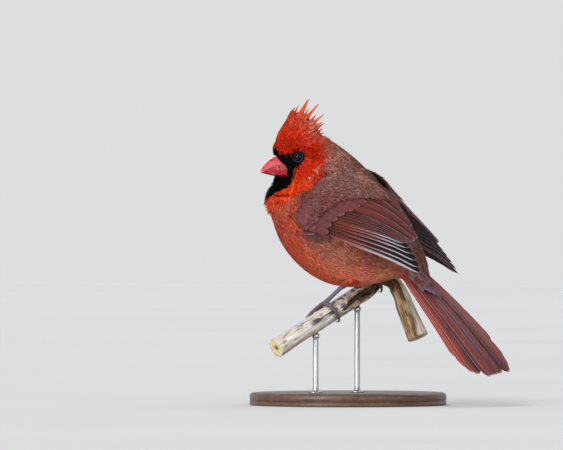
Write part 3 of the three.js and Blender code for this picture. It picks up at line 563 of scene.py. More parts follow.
def marking(t, phi, wobble=0.8, seed=0):
    """Tip colour and root colour of the plumage at body coordinates."""
    H = body(t, phi, turned=False)
    y, z = H[..., 1], H[..., 2]
    lat = np.degrees(np.arcsin(np.clip(np.sin(phi), -1, 1)))
    n1, n2, n3 = noise(H, 3.0, seed + 1) - 0.5, noise(H, 7.0, seed + 2) - 0.5, noise(H, 1.3, seed + 3) - 0.5
    # below and behind: breast, belly and flanks, brown above
    low = mix(C["breast"], C["breast_low"], smooth(5.8, 7.4, t + n2))
    low = mix(low, C["belly"], smooth(7.2, 9.0, t + n2))
    low = mix(low, C["belly_pale"], smooth(9.6, 12.0, t + n1 * 2))
    low = mix(low, C["vent"], smooth(12.0, 13.4, t))
    top = mix(C["shoulder"], C["mantle"], smooth(6.5, 8.2, t))
    top = mix(top, C["back"], smooth(8.5, 10.5, t))
    top = mix(top, C["rump"], smooth(11.2, 12.6, t))
    top = mix(top, C["tail_cov"], smooth(13.2, 14.4, t))
    top = mix(top, C["nape"], smooth(7.6, 5.6, t + n1) * smooth(20, 50, lat))
    edge = np.interp(t, [5, 6.0, 6.6, 7.2, 7.8, 8.4, 9.2, 11, 12.4, 13.5, 15], [14, -2, -12, -20, -22, -21, -22, -24, -10, 2, 8])
    up = smooth(-9, 9, lat - edge + 16 * n1 + 8 * n3)
    side = smooth(-30, -6, lat - edge + 20 * n2) * smooth(8.2, 9.4, t) * smooth(13.0, 12.0, t)
    low = mix(low, C["flank"], 0.75 * side)
    # brown gives way to the flanks' soft dull pink below the folded wing
    top = mix(top, C["flank"] * 0.9, 0.85 * smooth(26, 4, lat + 10 * n1) * smooth(8.0, 9.0, t) * smooth(13.4, 12.4, t))
    col = mix(low, top, up)
    # the red head, ending in a ragged line across the cheek and hindneck
    line = np.interp(z, [128, 131, 134, 137, 142, 149, 157, 165, 170, 180], [-50, -42.5, -35, -26.5, -18, -16, -16.5, -17, -17, -16])
    head = smooth(1.6, -1.6, y - line + 5.0 * n1 + 3 * n2) * smooth(7.2, 6.6, t)
    red = mix(C["forehead"], C["cheek"], smooth(159, 154, z))
    red = mix(red, C["cheek_low"], smooth(147, 141, z))
    red = mix(red, C["crest"], smooth(160, 168, z) * 0.6)
    red = mix(red, C["nape"], 0.7 * smooth(-8, 0, y - line) * smooth(155, 161, z))
    col = mix(col, red, head)
    # a fine dark line behind the eye, and a grey fold behind the cheek with painted shade in a dark line just behind it
    eyeline = np.exp(-((z - 156.8 - 0.08 * (y + 30)) / 0.6) ** 2) * smooth(-32, -30, y) * smooth(-17, -23, y)
    col = mix(col, C["dark"], 0.75 * eyeline * smooth(60, 20, np.abs(lat)))
    bend = np.interp(z, [142.4, 144.4, 146.2, 148.5, 152.6], [-30.0, -25.8, -22.4, -20.2, -19.2])
    reach = smooth(142.0, 144, z) * smooth(154.2, 152.4, z)
    col = mix(col, C["pale"] * 0.8, 0.85 * np.exp(-((y - bend) / 0.7) ** 2) * reach)
    # painted shade: the dark line in the fold just behind the pale band
    col = mix(col, C["dark"], 0.6 * np.exp(-((y - bend - 1.5) / 0.6) ** 2) * reach)
    # and painted shade: a dark line in the crease where the neck's feathers end over the shoulder
    crease = np.exp(-((z - np.interp(y, [-34, -30, -24, -20, -14, -8], [135.4, 136.6, 138.0, 138.4, 136.0, 131.0])) / 0.8) ** 2) * smooth(-36, -33, y) * smooth(-7, -10, y)
    col = mix(col, C["dark"], 0.6 * crease)
    # the black mask
    j = wobble * 1.6
    m = inside(y + j * n3 * 1.4, z + j * n1, MASK) & (t < 5.2)
    col = np.where(m[..., None], C["mask"], col)
    # the roots are painted darker than the tips: partly the feathers' own duller bases, partly painted shade in the
    # gaps between the locks
    root = mix(col * 0.68, C["under"] * 0.55, 0.2)
    root = np.where(m[..., None], C["mask"] * 0.7, root)
    return col, root, m, up, head


def flow(turn=0.0):
    """The lie of the coat: along the body, fanning up over the crown and down over the cheek from the bill."""
    def field(t, phi, P, a, b, n):
        H = body(t, phi, turned=False)
        y, z = H[..., 1], H[..., 2]
        up = np.stack([0 * y, y + 62, z - 146], -1)
        down = np.stack([0 * y, y + 58, z - 168], -1)
        w = smooth(152.5, 159.5, z)
        d = unit(up) * w[..., None] + unit(down) * (1 - w)[..., None]
        d = turn_head(d + np.array([0, PIVOT_Y, 0]), 1.0) - np.array([0, PIVOT_Y, 0])
        k = (1 - smooth(4.6, 6.4, t))[..., None]
        d = unit(d) * k + unit(a) * (1 - k)
        d = unit(d - dot(d, n)[..., None] * n)
        c, s = np.cos(turn), np.sin(turn)
        return d * np.asarray(c)[..., None] + np.cross(n, d) * np.asarray(s)[..., None]
    return field


# ---------------------------------------------------------------- crest surface in the head's frame
def crest_x(y, z):
    """Half width of the crest at a point of its side view, 0 outside it."""
    r = cr(np.interp(z, CREST[:, 0], np.arange(len(CREST))), CREST)
    f, b, w = r[..., 1], r[..., 2], r[..., 3]
    c = ((f + b) / 2 - y) / ((b - f) / 2)
    s = np.sqrt(np.clip(1 - c * c, 0, 1))
    return w * s * (1 - 0.25 * np.clip(c, -1, 1)) * smooth(189.5, 187.5, z)


def crest_rings(off, n=40, rows=26):
    out = []
    for k in np.linspace(0, len(CREST) - 1 - 1e-6, rows):
        z, f, b, w = cr(np.array(k), CREST)
        a = 2 * pi * np.arange(n) / n
        c = np.cos(a)
        w, f, b = max(0.5, w + off), f - off, b + off
        out.append(turn_head(np.stack([w * np.sin(a) * (1 - 0.25 * c), (f + b) / 2 - ((b - f) / 2) * c, np.full(n, z - 2.0 * k / 5)], -1)))
    V = np.concatenate(out)
    return np.concatenate([V, out[0].mean(0)[None], out[-1].mean(0)[None]]), tube_faces(rows, n)


# ---------------------------------------------------------------- legs' places, as in the solids
PERCH_RADIUS = 5.6
PERCH_AT = np.array([0, 2.6, 66.4])
PERCH_DIR = unit(np.array([-0.927, 0.375, 0.514]))
PERCH_FRONT = unit(np.array([-0.375, -0.927, 0.0]))
PERCH_TOP = unit(np.cross(PERCH_DIR, PERCH_FRONT))
FOOT_S = {"left": -20.2, "right": 19.6}
PAD_R = 1.7
ANKLE = {"left": np.array([13.4, 12.2, 80.6]), "right": np.array([-15.4, 22.5, 92.0])}
THIGH_TOP = {"left": np.array([14.5, 3.0, 92.0]), "right": np.array([-14.5, 14.0, 100.0])}
TOES = {"left": [(2.4, 96, 1.0), (-4.4, 118, 1.1), (-12.6, 58, 1.0), (1.6, -112, 1.2)],
        "right": [(-2.4, 92, 1.0), (-1.0, 112, 1.1), (2.6, 84, 1.0), (0.4, -108, 1.2)]}


def perch_radius(s):
    e = np.maximum(0, (s - 12) / 15)
    return PERCH_RADIUS + 0.35 * np.maximum(0, (-s - 40) / 26) - 2.4 * e * e


def perch_lift(s):
    return 1.2 * np.maximum(0, (s - 12) / 15)


def on_perch(s, th, r):
    s, th, r = np.broadcast_arrays(np.asarray(s, float), np.asarray(th, float), np.asarray(r, float))
    return PERCH_AT + PERCH_DIR * s[..., None] + PERCH_TOP * (r * np.cos(th))[..., None] + PERCH_FRONT * (r * np.sin(th))[..., None]


def foot_top(foot):
    s = FOOT_S[foot]
    return on_perch(s, radians(-4), perch_radius(s) + perch_lift(s) + 0.3 + PAD_R + 0.1)


def thigh_line(foot):
    a, b, c = THIGH_TOP[foot], ANKLE[foot], foot_top(foot)
    end = lerp(b, c, 0.3 if foot == "left" else 0.42)
    return np.array([a, lerp(a, b, 0.5), b, lerp(b, end, 0.55), end]), np.array([3.3, 2.6, 2.0, 1.7, 1.5])


# ---------------------------------------------------------------- one skin under the whole coat
def body_shell(off, depth, nt=150, nph=120):
    t, ph = np.meshgrid(np.linspace(0, NT, nt), 2 * pi * np.arange(nph) / nph, indexing="ij")
    P = tuck(body(t, ph, off), depth)
    V = P.reshape(-1, 3)
    return np.concatenate([V, P[0].mean(0)[None], P[-1].mean(0)[None]]), tube_faces(nt, nph)


def apply_modifiers(ob):
    dg = bpy.context.evaluated_depsgraph_get()
    me = bpy.data.meshes.new_from_object(ob.evaluated_get(dg))
    ob.modifiers.clear()
    old = ob.data
    ob.data = me
    bpy.data.meshes.remove(old)


def vertices(ob):
    co = np.zeros(len(ob.data.vertices) * 3, np.float32)
    ob.data.vertices.foreach_get("co", co)
    return co.reshape(-1, 3).astype(float) / MM


def fused(name, parts, voxel, rounds=6, factor=0.5):
    """One closed surface round several closed shells."""
    Vs, Fs, base = [], {}, 0
    for V, F in parts:
        for f in F:
            Fs.setdefault(np.asarray(f).shape[1], []).append(np.asarray(f) + base)
        Vs.append(V)
        base += len(V)
    ob = build(name, np.concatenate(Vs), [np.concatenate(f) for f in Fs.values()])
    m = ob.modifiers.new("r", "REMESH")
    m.mode, m.voxel_size, m.use_smooth_shade = "VOXEL", voxel * MM, True
    s = ob.modifiers.new("s", "SMOOTH")
    s.factor, s.iterations = factor, rounds
    apply_modifiers(ob)
    return ob


_gt, _gp = np.meshgrid(np.linspace(0, NT, 181), 2 * pi * np.arange(120) / 120, indexing="ij")
_gP = body(_gt, _gp).reshape(-1, 3).astype(np.float32)
_gtp = np.stack([_gt.ravel(), _gp.ravel()], -1)


def on_body(P):
    """Nearest body coordinates for points in space."""
    Q = np.asarray(P, np.float32).reshape(-1, 3)
    best = np.zeros(len(Q), int)
    for i in range(0, len(Q), 2500):
        q = Q[i:i + 2500]
        best[i:i + 2500] = (-2 * q @ _gP.T + (_gP * _gP).sum(1)[None]).argmin(1)
    return _gtp[best, 0], _gtp[best, 1]


def eye_centre(side):
    return turn_head(np.array([side * EYE[0], EYE[1], EYE[2]], float))


def eye_axis(side):
    """Outward from the eye, a little forwards."""
    return unit(turn_head(np.array([side * 0.965, -0.2 + PIVOT_Y, 0.06])) - np.array([0, PIVOT_Y, 0]))


shells = [body_shell(-1.5, 3.0), crest_rings(-1.3)]
for foot in ("left", "right"):
    line, rad = thigh_line(foot)
    k = np.linspace(0, 4, 21)
    pts, rr = cr(k, line), np.interp(k, np.arange(5), rad) - 1.2
    shells.append((sweep(pts, np.stack([rr, rr], -1), 20, (1, 0, 0)), tube_faces(21, 20)))
skin = fused("skin", shells, 1.0)
co = vertices(skin)
for side in (1, -1):  # eye sockets
    c, ax = eye_centre(side), eye_axis(side)
    d = co - c
    k = d @ ax
    rho = np.linalg.norm(d - k[:, None] * ax, axis=1)
    cap = np.where(rho < 3.5, np.sqrt(np.maximum(0, 3.6**2 - np.minimum(rho, 3.5) ** 2)) * 0.55 - 1.2, dish(rho) - 1.3)
    over = (rho < 5.5) & (k > -3)
    co = co + ax * (np.where(over, np.minimum(k, cap) - k, 0))[:, None]
skin.data.vertices.foreach_set("co", (co * MM).astype(np.float32).ravel())
skin.data.update()
st, sp = on_body(co)
tip, root, mk, up, hd = marking(st, sp)
scol = mix(root, tip, 0.45)
crestiness = smooth(170, 176, co[:, 2])
scol = mix(scol, C["crest"] * 0.6, crestiness)
att = skin.data.color_attributes.new("Col", "FLOAT_COLOR", "POINT")
att.data.foreach_set("color", np.concatenate([scol, np.ones((len(co), 1))], 1).astype(np.float32).ravel())
give(skin, MAT_SKIN, "plumage_red", "head", "neck", "trunk", "rump", "crest", "thigh_left", "thigh_right")


# ---------------------------------------------------------------- coat
class OnBody:
    """Locks that follow the body's own surface."""

    def __init__(self, t, phi, turn=0.0, depth=None):
        self.t0, self.phi0, self.turn, self.depth = t, phi, turn, depth
        self.uv = np.stack([np.mod(phi / (2 * pi) + 0.25, 1.0) * 0.98 + 0.01, t / NT * 0.98 + 0.01], -1)

    def begin(self, o, ang):
        lie = flow(self.turn)
        side = lambda t, p, P, a, b, n: np.cross(n, lie(t, p, P, a, b, n))
        self.t, self.phi = walk(self.t0, self.phi0, side, o, 1)
        self.lie = flow(self.turn + ang)
        return self.at()

    def go(self, L):
        self.t, self.phi = walk(self.t, self.phi, self.lie, L, 1)
        return self.at()

    def at(self):
        P, a, b, n = body_frame(self.t, self.phi)
        d = self.lie(self.t, self.phi, P, a, b, n)
        if self.depth is not None:
            near = (self.t > 5.2) & (np.abs(P[:, 0]) > 5)
            P = P.copy()
            P[near] = tuck(P[near], self.depth)
        return P, d, n


class Free:
    """Locks with roots, lies and normals of their own, which bend by curl."""

    def __init__(self, P, d, n, uv, curl=0.0, across=None):
        self.P0, self.d0, self.n0, self.uv, self.curl = P, unit(d), unit(n), uv, curl

    def begin(self, o, ang):
        side = unit(np.cross(self.n0, self.d0))
        self.P = self.P0 + side * o[:, None]
        self.d = unit(self.d0 * np.cos(ang)[:, None] + side * np.sin(ang)[:, None])
        return self.P, self.d, self.n0

    def go(self, L):
        self.d = unit(self.d + self.n0 * np.asarray(self.curl)[..., None] * 0.5)
        self.P = self.P + self.d * L[:, None]
        return self.P, self.d, self.n0


def tufts(on, length, width, rise, cols, count=5, spread=2.6, fan=0.35, thick=0.16, seg=2, jitter=0.25, lift=0.2, seed=0, tone=0.16, fork=0.0):
    """Feathers as fans of thin closed pointed locks. on: what they lie on. rise: heights over it at root, middle and tip, one row for all or one for each tuft. cols: root and tip colours."""
    rng = np.random.default_rng(seed + 7)
    M = len(on.uv)
    length, width, spread = (np.broadcast_to(np.asarray(x, float), (M,)) for x in (length, width, spread))
    rise = np.broadcast_to(np.asarray(rise, float), (M, 3))
    allV, allC, allU = [], [], []
    whole = np.exp(rng.normal(0, tone * 0.8, M))
    hue = np.exp(rng.normal(0, 0.10, (M, 1)) * np.array([[0.0, 1.0, 1.2]]))
    for j in range(count):
        o = ((j + 0.5) / count - 0.5) + rng.uniform(-0.25, 0.25, M) / count
        L = length * (1 - 0.35 * (2 * o) ** 2) * (1 + jitter * rng.uniform(-1, 1, M))
        w = width * (1 + 0.3 * rng.uniform(-1, 1, M))
        ang = 2 * o * fan + rng.normal(0, 0.05 + fork, M)
        p, d, nn = on.begin(o * spread, ang)
        line, norms = [p], [nn]
        for k in range(seg):
            p, d, nn = on.go(L / seg)
            line.append(p)
            norms.append(nn)
        up = rng.uniform(-0.6, 1.0, M) * lift
        pts = []
        for k in range(seg + 1):
            f = k / seg
            h = rise[:, 0] + (rise[:, 1] - rise[:, 0]) * min(1, 2 * f) + (rise[:, 2] - rise[:, 1]) * max(0, 2 * f - 1)
            pts.append(line[k] + norms[k] * (h + up * f)[:, None])
        rings = []
        for k in range(seg):
            dd = unit(pts[k + 1] - pts[k])
            ac = unit(np.cross(norms[k], dd))
            ww = (w * (1.0 if k else 0.8) * (1 - 0.25 * k / seg) / 2)[:, None]
            th = thick * (1 - 0.4 * k / seg)
            out = unit(np.cross(dd, ac))
            rings.append(np.stack([pts[k] - ac * ww, pts[k] + ac * ww, pts[k] + out * th], 1))
        allV.append(np.concatenate(rings + [pts[-1][:, None]], 1))  # M x (3 seg + 1)
        # each lock's tone varies at random, and locks that lie lower (up < 0) are painted 0.86 as bright, raised ones
        # 1.06: painted shade and painted light
        tone_and_shade = (whole * np.exp(rng.normal(0, tone, M)) * np.where(up < 0, 0.86, 1.06))[:, None, None] * (hue * np.exp(rng.normal(0, 0.08, (M, 1)) * np.array([[0.0, 1.0, 1.2]])))[:, None]
        f = np.concatenate([np.repeat(np.arange(seg) / seg, 3), [1.0]])
        g = smooth(0.0, 0.6, f)[None, :, None]
        allC.append((cols[0][:, None, :] * (1 - g) + cols[1][:, None, :] * g) * tone_and_shade)
        x = np.concatenate([np.tile([-0.3, 0.3, 0.0], seg), [0.0]]) / count + (j + 0.5) / count - 0.5
        allU.append(on.uv[:, None, :] + np.stack([x * 0.0028, f * 0.0028 - 0.0014], -1)[None])
    V = np.concatenate(allV)
    N, K = V.shape[:2]
    quads, tris = [], [[0, 2, 1]]
    for k in range(seg - 1):
        for a, b in ((0, 1), (1, 2), (2, 0)):
            quads.append([3 * k + a, 3 * k + b, 3 * k + 3 + b, 3 * k + 3 + a])
    e = 3 * (seg - 1)
    for a, b in ((0, 1), (1, 2), (2, 0)):
        tris.append([e + a, e + b, K - 1])
    base = (np.arange(N) * K)[:, None, None]
    F = [(base + np.array(tris)[None]).reshape(-1, 3)]
    if quads:
        F.append((base + np.array(quads)[None]).reshape(-1, 4))
    return V.reshape(-1, 3), F, np.concatenate(allC).reshape(-1, 3), {"OFBake": np.clip(np.concatenate(allU).reshape(-1, 2), 0.001, 0.999)}


def sample_body(n, t0, t1, spacing, seed=0, keep=None):
    """Evenly scattered roots on the body between two ribs."""
    rng = np.random.default_rng(seed + 100)
    t, ph = rng.uniform(t0, t1, n), rng.uniform(-pi / 2, 1.5 * pi, n)
    P, a, b, nr = body_frame(t, ph)
    area = np.linalg.norm(np.cross(a, b), axis=1)
    ok = rng.uniform(0, 1, n) < area / np.percentile(area, 98)
    t, ph, P = t[ok], ph[ok], P[ok]
    if keep is not None:
        k = keep(t, ph, P)
        t, ph, P = t[k], ph[k], P[k]
    key = np.floor(P / np.asarray(spacing)).astype(np.int64)
    _, first = np.unique(key[:, 0] * 1000003 + key[:, 1] * 1009 + key[:, 2], return_index=True)
    first.sort()
    return t[first], ph[first]


def hidden_by_wing(P, inner=0.10):
    """Roots that the folded wings cover."""
    a, b, h, n, away = on_wing(P)
    return (a > 0.12) & (a < 3.7) & (b > inner) & (b < 0.86) & (away < 4.5) & (h > -9)


def clear_of_eyes(P, margin):
    ok = np.ones(len(P), bool)
    for side in (1, -1):
        d = P - eye_centre(side)
        ax = eye_axis(side)
        k = d @ ax
        ok &= ~((k > -2) & (np.linalg.norm(d - k[:, None] * ax, axis=1) < margin))
    return ok


def on_bill(P):
    """Points that the bare bill covers, in the head's frame."""
    return (P[:, 1] < -40) & (on_face(BILL_GAP, P[:, 1], P[:, 2]) < 0.25)


coat_triangles = {}


def coat(name, parts, slot, material=None):
    V, F, col, uvs = merge(parts)
    ob = build(name, V, F, col, uvs)
    n = sum(len(f) * (f.shape[1] - 2) for f in F)
    coat_triangles[name] = n
    return give(ob, material or MAT_COAT, slot)


def body_coat(name, t0, t1, spacing, length, width, count, spread, seed, n=60000, seg=2, rise=(-1.3, -0.45, 0.1), fan=0.3, slot="plumage_red", lat=None, lift=0.25, fork=0.03, tone=0.24, thick=0.16, turn=0.0):
    def keep(t, ph, P):
        ok = clear_of_eyes(P, 3.75)
        if t1 > 5.2:
            ok &= ~hidden_by_wing(P)
        if t0 < 3:
            ok &= ~on_bill(body(t, ph, turned=False))
        if lat is not None:
            la = np.degrees(np.arcsin(np.clip(np.sin(ph), -1, 1)))
            ok &= (la > lat[0]) & (la < lat[1])
        return ok
    t, ph = sample_body(n, t0, t1, spacing, seed, keep)
    tip, root, mk, up, hd = marking(t, ph, seed=0)
    L = length(t, ph) if callable(length) else length
    rng = np.random.default_rng(seed + 55)
    # single feathers stray towards grey or pale, more so on the brown parts and the speckled breast
    stray = rng.uniform(0, 1, len(t)) < 0.10 + 0.10 * up
    tip = mix(tip, C["grey"] * rng.uniform(0.7, 1.2, len(t))[:, None], np.where(stray & ~mk & (hd < 0.6), 0.5, 0.0))
    tip = mix(tip, C["pale"] * 0.9, np.where((rng.uniform(0, 1, len(t)) < 0.07) & ~mk & (hd < 0.5), 0.5, 0.0))
    dark = rng.uniform(0, 1, len(t)) < 0.15
    tip = tip * np.where(dark & ~mk, np.where(hd > 0.6, 0.8, 0.6), 1.0)[:, None]
    return tufts(OnBody(t, ph, turn, depth=0.9), L, width, rise, (root, tip), count, spread, fan, thick, seg, 0.3, lift, seed, tone, fork)


head_len = lambda t, ph: np.interp(t, [0, 2, 3.5, 5.2, 6], [1.6, 2.4, 4.2, 6.5, 8.0])
# face: the smallest feathers
coat("coat_face", [body_coat("f", 0.15, 3.0, 0.62, head_len, 0.42, 3, 0.9, 1, 60000, rise=(-1.2, -0.4, 0.15), thick=0.1)], "plumage_red")
coat("coat_head", [body_coat("h", 3.0, 5.3, 0.95, head_len, 0.5, 4, 1.5, 2, 60000, rise=(-1.3, -0.4, 0.1), thick=0.13)], "plumage_red")
coat("coat_neck", [body_coat("n", 5.3, 7.2, 1.3, 8.0, 0.62, 5, 2.3, 3, 60000)], "plumage_red")
coat("coat_breast", [body_coat("b", 7.2, 9.6, 1.45, 9.5, 0.66, 6, 2.8, 4, 70000, lat=(-91, 4))], "plumage_red")
coat("coat_mantle", [body_coat("m", 7.2, 10.4, 1.6, 9.5, 0.72, 6, 3.2, 5, 70000, lat=(4, 91), rise=(-1.3, -0.2, 0.5))], "plumage_back")
coat("coat_belly", [body_coat("y", 9.6, 12.4, 1.5, 10.5, 0.68, 6, 3.0, 6, 70000, lat=(-91, 10))], "plumage_red")
coat("coat_rump", [body_coat("r", 10.4, 14.9, 1.5, 9.0, 0.75, 6, 3.2, 7, 70000, lat=(-5, 91), rise=(-1.3, -0.3, 0.3))], "plumage_back")
coat("coat_vent", [body_coat("v", 12.4, 14.9, 1.4, 9.0, 0.7, 6, 3.0, 8, 60000, lat=(-91, -5))], "plumage_red")

# ---------------------------------------------------------------- crest feathers
CREST_X = CREST


def crest_point(z, a):
    r = cr(np.interp(z, CREST_X[:, 0], np.arange(len(CREST_X))), CREST_X)
    f, b, w = r[..., 1], r[..., 2], r[..., 3]
    c = np.cos(a)
    return turn_head(np.stack([w * np.sin(a) * (1 - 0.25 * c), (f + b) / 2 - ((b - f) / 2) * c, z + 0 * a], -1))


def head_back(P):
    """Undoes the head's turn."""
    a = -HEAD_TURN
    x, v = P[..., 0], P[..., 1] - PIVOT_Y
    return np.stack([x * np.cos(a) - v * np.sin(a), x * np.sin(a) + v * np.cos(a) + PIVOT_Y, P[..., 2]], -1)


def crest_frame(z, a):
    e = 1e-2
    z = np.clip(z, 158.5, 187.5)
    P = crest_point(z, a)
    dz = (crest_point(z + e, a) - crest_point(z - e, a)) / (2 * e)
    da = (crest_point(z, a + e) - crest_point(z, a - e)) / (2 * e)
    return P, dz, da, unit(np.cross(da, dz))


class OnCrest:
    def __init__(self, z, a):
        self.z0, self.a0 = z, a
        self.uv = np.stack([np.mod(a / (2 * pi), 1) * 0.98 + 0.01, (z - 156) / 38 * 0.98 + 0.01], -1)

    def lie(self, P, n, ang):
        H = head_back(P)
        d = np.stack([0 * H[:, 0], H[:, 1] + 62, H[:, 2] - 144], -1)
        d = turn_head(d + np.array([0, PIVOT_Y, 0])) - np.array([0, PIVOT_Y, 0])
        d = unit(d - dot(d, n)[:, None] * n)
        return d * np.cos(ang)[:, None] + np.cross(n, d) * np.sin(ang)[:, None]

    def move(self, d, L):
        P, dz, da, n = crest_frame(self.z, self.a)
        v = d * L[:, None]
        aa, bb, ab = dot(dz, dz), np.maximum(dot(da, da), 0.3), dot(dz, da)
        va, vb = dot(v, dz), dot(v, da)
        det = np.maximum(aa * bb - ab * ab, 1e-4)
        self.z = self.z + np.clip((va * bb - vb * ab) / det, -6, 6)
        self.a = self.a + np.clip((vb * aa - va * ab) / det, -0.8, 0.8)

    def begin(self, o, ang):
        self.z, self.a, self.ang = self.z0.copy(), self.a0.copy(), ang
        P, dz, da, n = crest_frame(self.z, self.a)
        self.move(np.cross(n, self.lie(P, n, 0 * ang)), o)
        return self.at()

    def go(self, L):
        P, d, n = self.at()
        self.move(d, L)
        return self.at()

    def at(self):
        P, dz, da, n = crest_frame(self.z, self.a)
        over = np.maximum(0, self.z - 187.5)
        return P + np.array([0, 0.25, 1.0]) * over[:, None], self.lie(P, n, self.ang), n


def crest_colour(P, rng):
    H = head_back(P)
    y, z = H[:, 1], H[:, 2]
    c = mix(C["crown"], C["crest"], smooth(162, 174, z + rng.normal(0, 1.5, len(z))))
    c = mix(c, C["crest_pink"], 0.85 * smooth(-36, -26, y + rng.normal(0, 1.6, len(z))) * smooth(162, 171, z))
    c = mix(c, C["crest_tip"], 0.6 * smooth(178, 190, z))
    c = mix(c, C["nape"], 0.85 * smooth(-29, -19, y + rng.normal(0, 1.2, len(z))) * smooth(175, 167, z))
    return c


def strands(P, n, width, thick, root, tip, uv, tone=0.15, seed=0):
    """Thin closed pointed locks through given points P (count x K x 3)."""
    rng = np.random.default_rng(seed)
    N, K = P.shape[:2]
    width = np.broadcast_to(np.asarray(width, float), (N,))
    rings = []
    for k in range(K - 1):
        d = unit(P[:, k + 1] - P[:, k])
        ac = unit(np.cross(n, d))
        up = unit(np.cross(d, ac))
        f = k / (K - 1)
        w = (width * (0.85 if k == 0 else 1.0 - 0.45 * f) / 2)[:, None]
        rings.append(np.stack([P[:, k] - ac * w, P[:, k] + ac * w, P[:, k] + up * thick * (1 - 0.4 * f)], 1))
    V = np.concatenate(rings + [P[:, -1:]], 1)
    M = V.shape[1]
    f = np.concatenate([np.repeat(np.arange(K - 1) / (K - 1), 3), [1.0]])
    g = smooth(0.0, 0.7, f)[None, :, None]
    col = (root[:, None] * (1 - g) + tip[:, None] * g) * rng.uniform(1 - tone, 1 + tone, N)[:, None, None]
    U = uv[:, None] + np.stack([np.concatenate([np.tile([-0.0012, 0.0012, 0.0], K - 1), [0.0]]), f * 0.0028 - 0.0014], -1)[None]
    quads, tris = [], [[0, 2, 1]]
    for k in range(K - 2):
        for a, b in ((0, 1), (1, 2), (2, 0)):
            quads.append([3 * k + a, 3 * k + b, 3 * k + 3 + b, 3 * k + 3 + a])
    e = 3 * (K - 2)
    for a, b in ((0, 1), (1, 2), (2, 0)):
        tris.append([e + a, e + b, M - 1])
    base = (np.arange(N) * M)[:, None, None]
    F = [(base + np.array(tris)[None]).reshape(-1, 3)]
    if quads:
        F.append((base + np.array(quads)[None]).reshape(-1, 4))
    return V.reshape(-1, 3), F, col.reshape(-1, 3), {"OFBake": np.clip(U.reshape(-1, 2), 0.001, 0.999)}


rng = np.random.default_rng(11)
cz, ca = rng.uniform(158.5, 186.5, 16000), rng.uniform(0, 2 * pi, 16000)
cP, _dz, _da, _n = crest_frame(cz, ca)
ok = (rng.uniform(0, 1, len(cz)) < np.interp(cz, [160, 188], [1.0, 0.4]))
Hc = head_back(cP)
ok &= ~((Hc[:, 2] < 162) & (Hc[:, 1] < -50)) & ~inside(Hc[:, 1], Hc[:, 2] - 0.4, MASK)
cz, ca, cP = cz[ok], ca[ok], cP[ok]
key = np.floor(cP / 1.0).astype(np.int64)
_, first = np.unique(key[:, 0] * 1000003 + key[:, 1] * 1009 + key[:, 2], return_index=True)
cz, ca, cP = cz[first], ca[first], cP[first]
ctip = crest_colour(cP, rng)
full = np.interp(cz, [158, 164, 172, 180, 187], [9.0, 15.0, 15.0, 12.0, 7.0]) * rng.uniform(0.75, 1.15, len(cz))
clen = 0 * full + 0.8
on = OnCrest(cz, ca)
p, d, nn = on.begin(0 * cz, 0 * cz)
stop = np.zeros(len(cz), bool)
for k in range(16):  # each lock ends where the crest's outline does
    step = full / 16
    p, d, nn = on.go(step)
    H = head_back(p)
    stop |= ~inside(H[:, 1] + rng.normal(0, 0.25, len(cz)), H[:, 2] + rng.normal(0, 0.25, len(cz)), CREST_MASS)
    clen = np.where(stop, clen, clen + step)
keepc = clen > 1.6
cz, ca, ctip, clen = cz[keepc], ca[keepc], ctip[keepc], clen[keepc]
# the locks' roots are painted darker than their tips: partly the feathers' duller bases, partly painted shade in the
# gaps
parts = [tufts(OnCrest(cz, ca), clen, 0.5, (-0.9, -0.1, 0.25), (mix(ctip * 0.6, C["under"] * 0.5, 0.15), ctip), 5, 1.9, 0.10, 0.15, 4, 0.15, 0.5, 12, 0.24, 0.02)]
coat("coat_crest", parts, "plumage_red")
parts = []
# the separate pointed locks of the crest's top and back
rows = []
for i, (ry, rz, ty, tz, r) in enumerate(WISPS):
    m, r = 90, 0.74 * r
    rr, aa = r * np.sqrt(rng.uniform(0, 1, m)), rng.uniform(0, 2 * pi, m)
    d = unit(np.array([ty - ry, tz - rz], float))
    across = np.array([d[1], -d[0]])
    L = np.hypot(ty - ry, tz - rz)
    flank = rng.choice([-1.0, 1.0], m)
    deep = rng.uniform(1.0, 9.5, m)
    reach = np.where(np.arange(m) < 14, rng.uniform(0.94, 1.02, m), rng.uniform(0.42, 0.98, m))
    src = np.array([-60.0, 147.0])
    back_ = unit(np.array([ry, rz]) - src)
    r0 = np.array([ry, rz]) + across * (rr * np.cos(aa))[:, None]
    start = r0 - back_ * deep[:, None]
    end = np.array([ty, tz]) + across * (0.30 * rr * np.cos(aa) * (1.3 - reach))[:, None] - d * (L * (1 - reach))[:, None]
    pts = []
    for f in (0, 0.2, 0.4, 0.6, 0.8, 1.0):
        q = (1 - f) ** 2 * start + 2 * f * (1 - f) * (r0 + d * 0.15 * L) + f**2 * end
        x = crest_x(q[:, 0], q[:, 1]) + 0.25
        free = smooth(0.35, 0.9, f)
        x = lerp(x, np.minimum(x, 0.35 + 0.4 * rr), free)
        pts.append(np.stack([flank * x * np.where(rr * np.sin(aa) > -0.3 * r, 1.0, 0.6), q[:, 0], q[:, 1]], -1))
    rows.append(turn_head(np.stack(pts, 1)))
W = np.concatenate(rows)
tipc = crest_colour(W[:, -1], rng)
nrm = unit(turn_head(np.stack([np.sign(head_back(W[:, 2])[:, 0]), 0 * W[:, 0, 0] + PIVOT_Y, rng.normal(0, 0.2, len(W))], -1)) - np.array([0, PIVOT_Y, 0]))
HW = head_back(W[:, 0])
parts.append(strands(W, nrm, rng.uniform(0.3, 0.5, len(W)), 0.2, crest_colour(W[:, 0], rng) * 0.95, mix(tipc, C["crest_tip"], 0.4),
                     np.stack([(HW[:, 1] + 62) / 60, (HW[:, 2] - 150) / 45], -1), 0.2, 5))
coat("coat_crest_points", parts, "plumage_red")

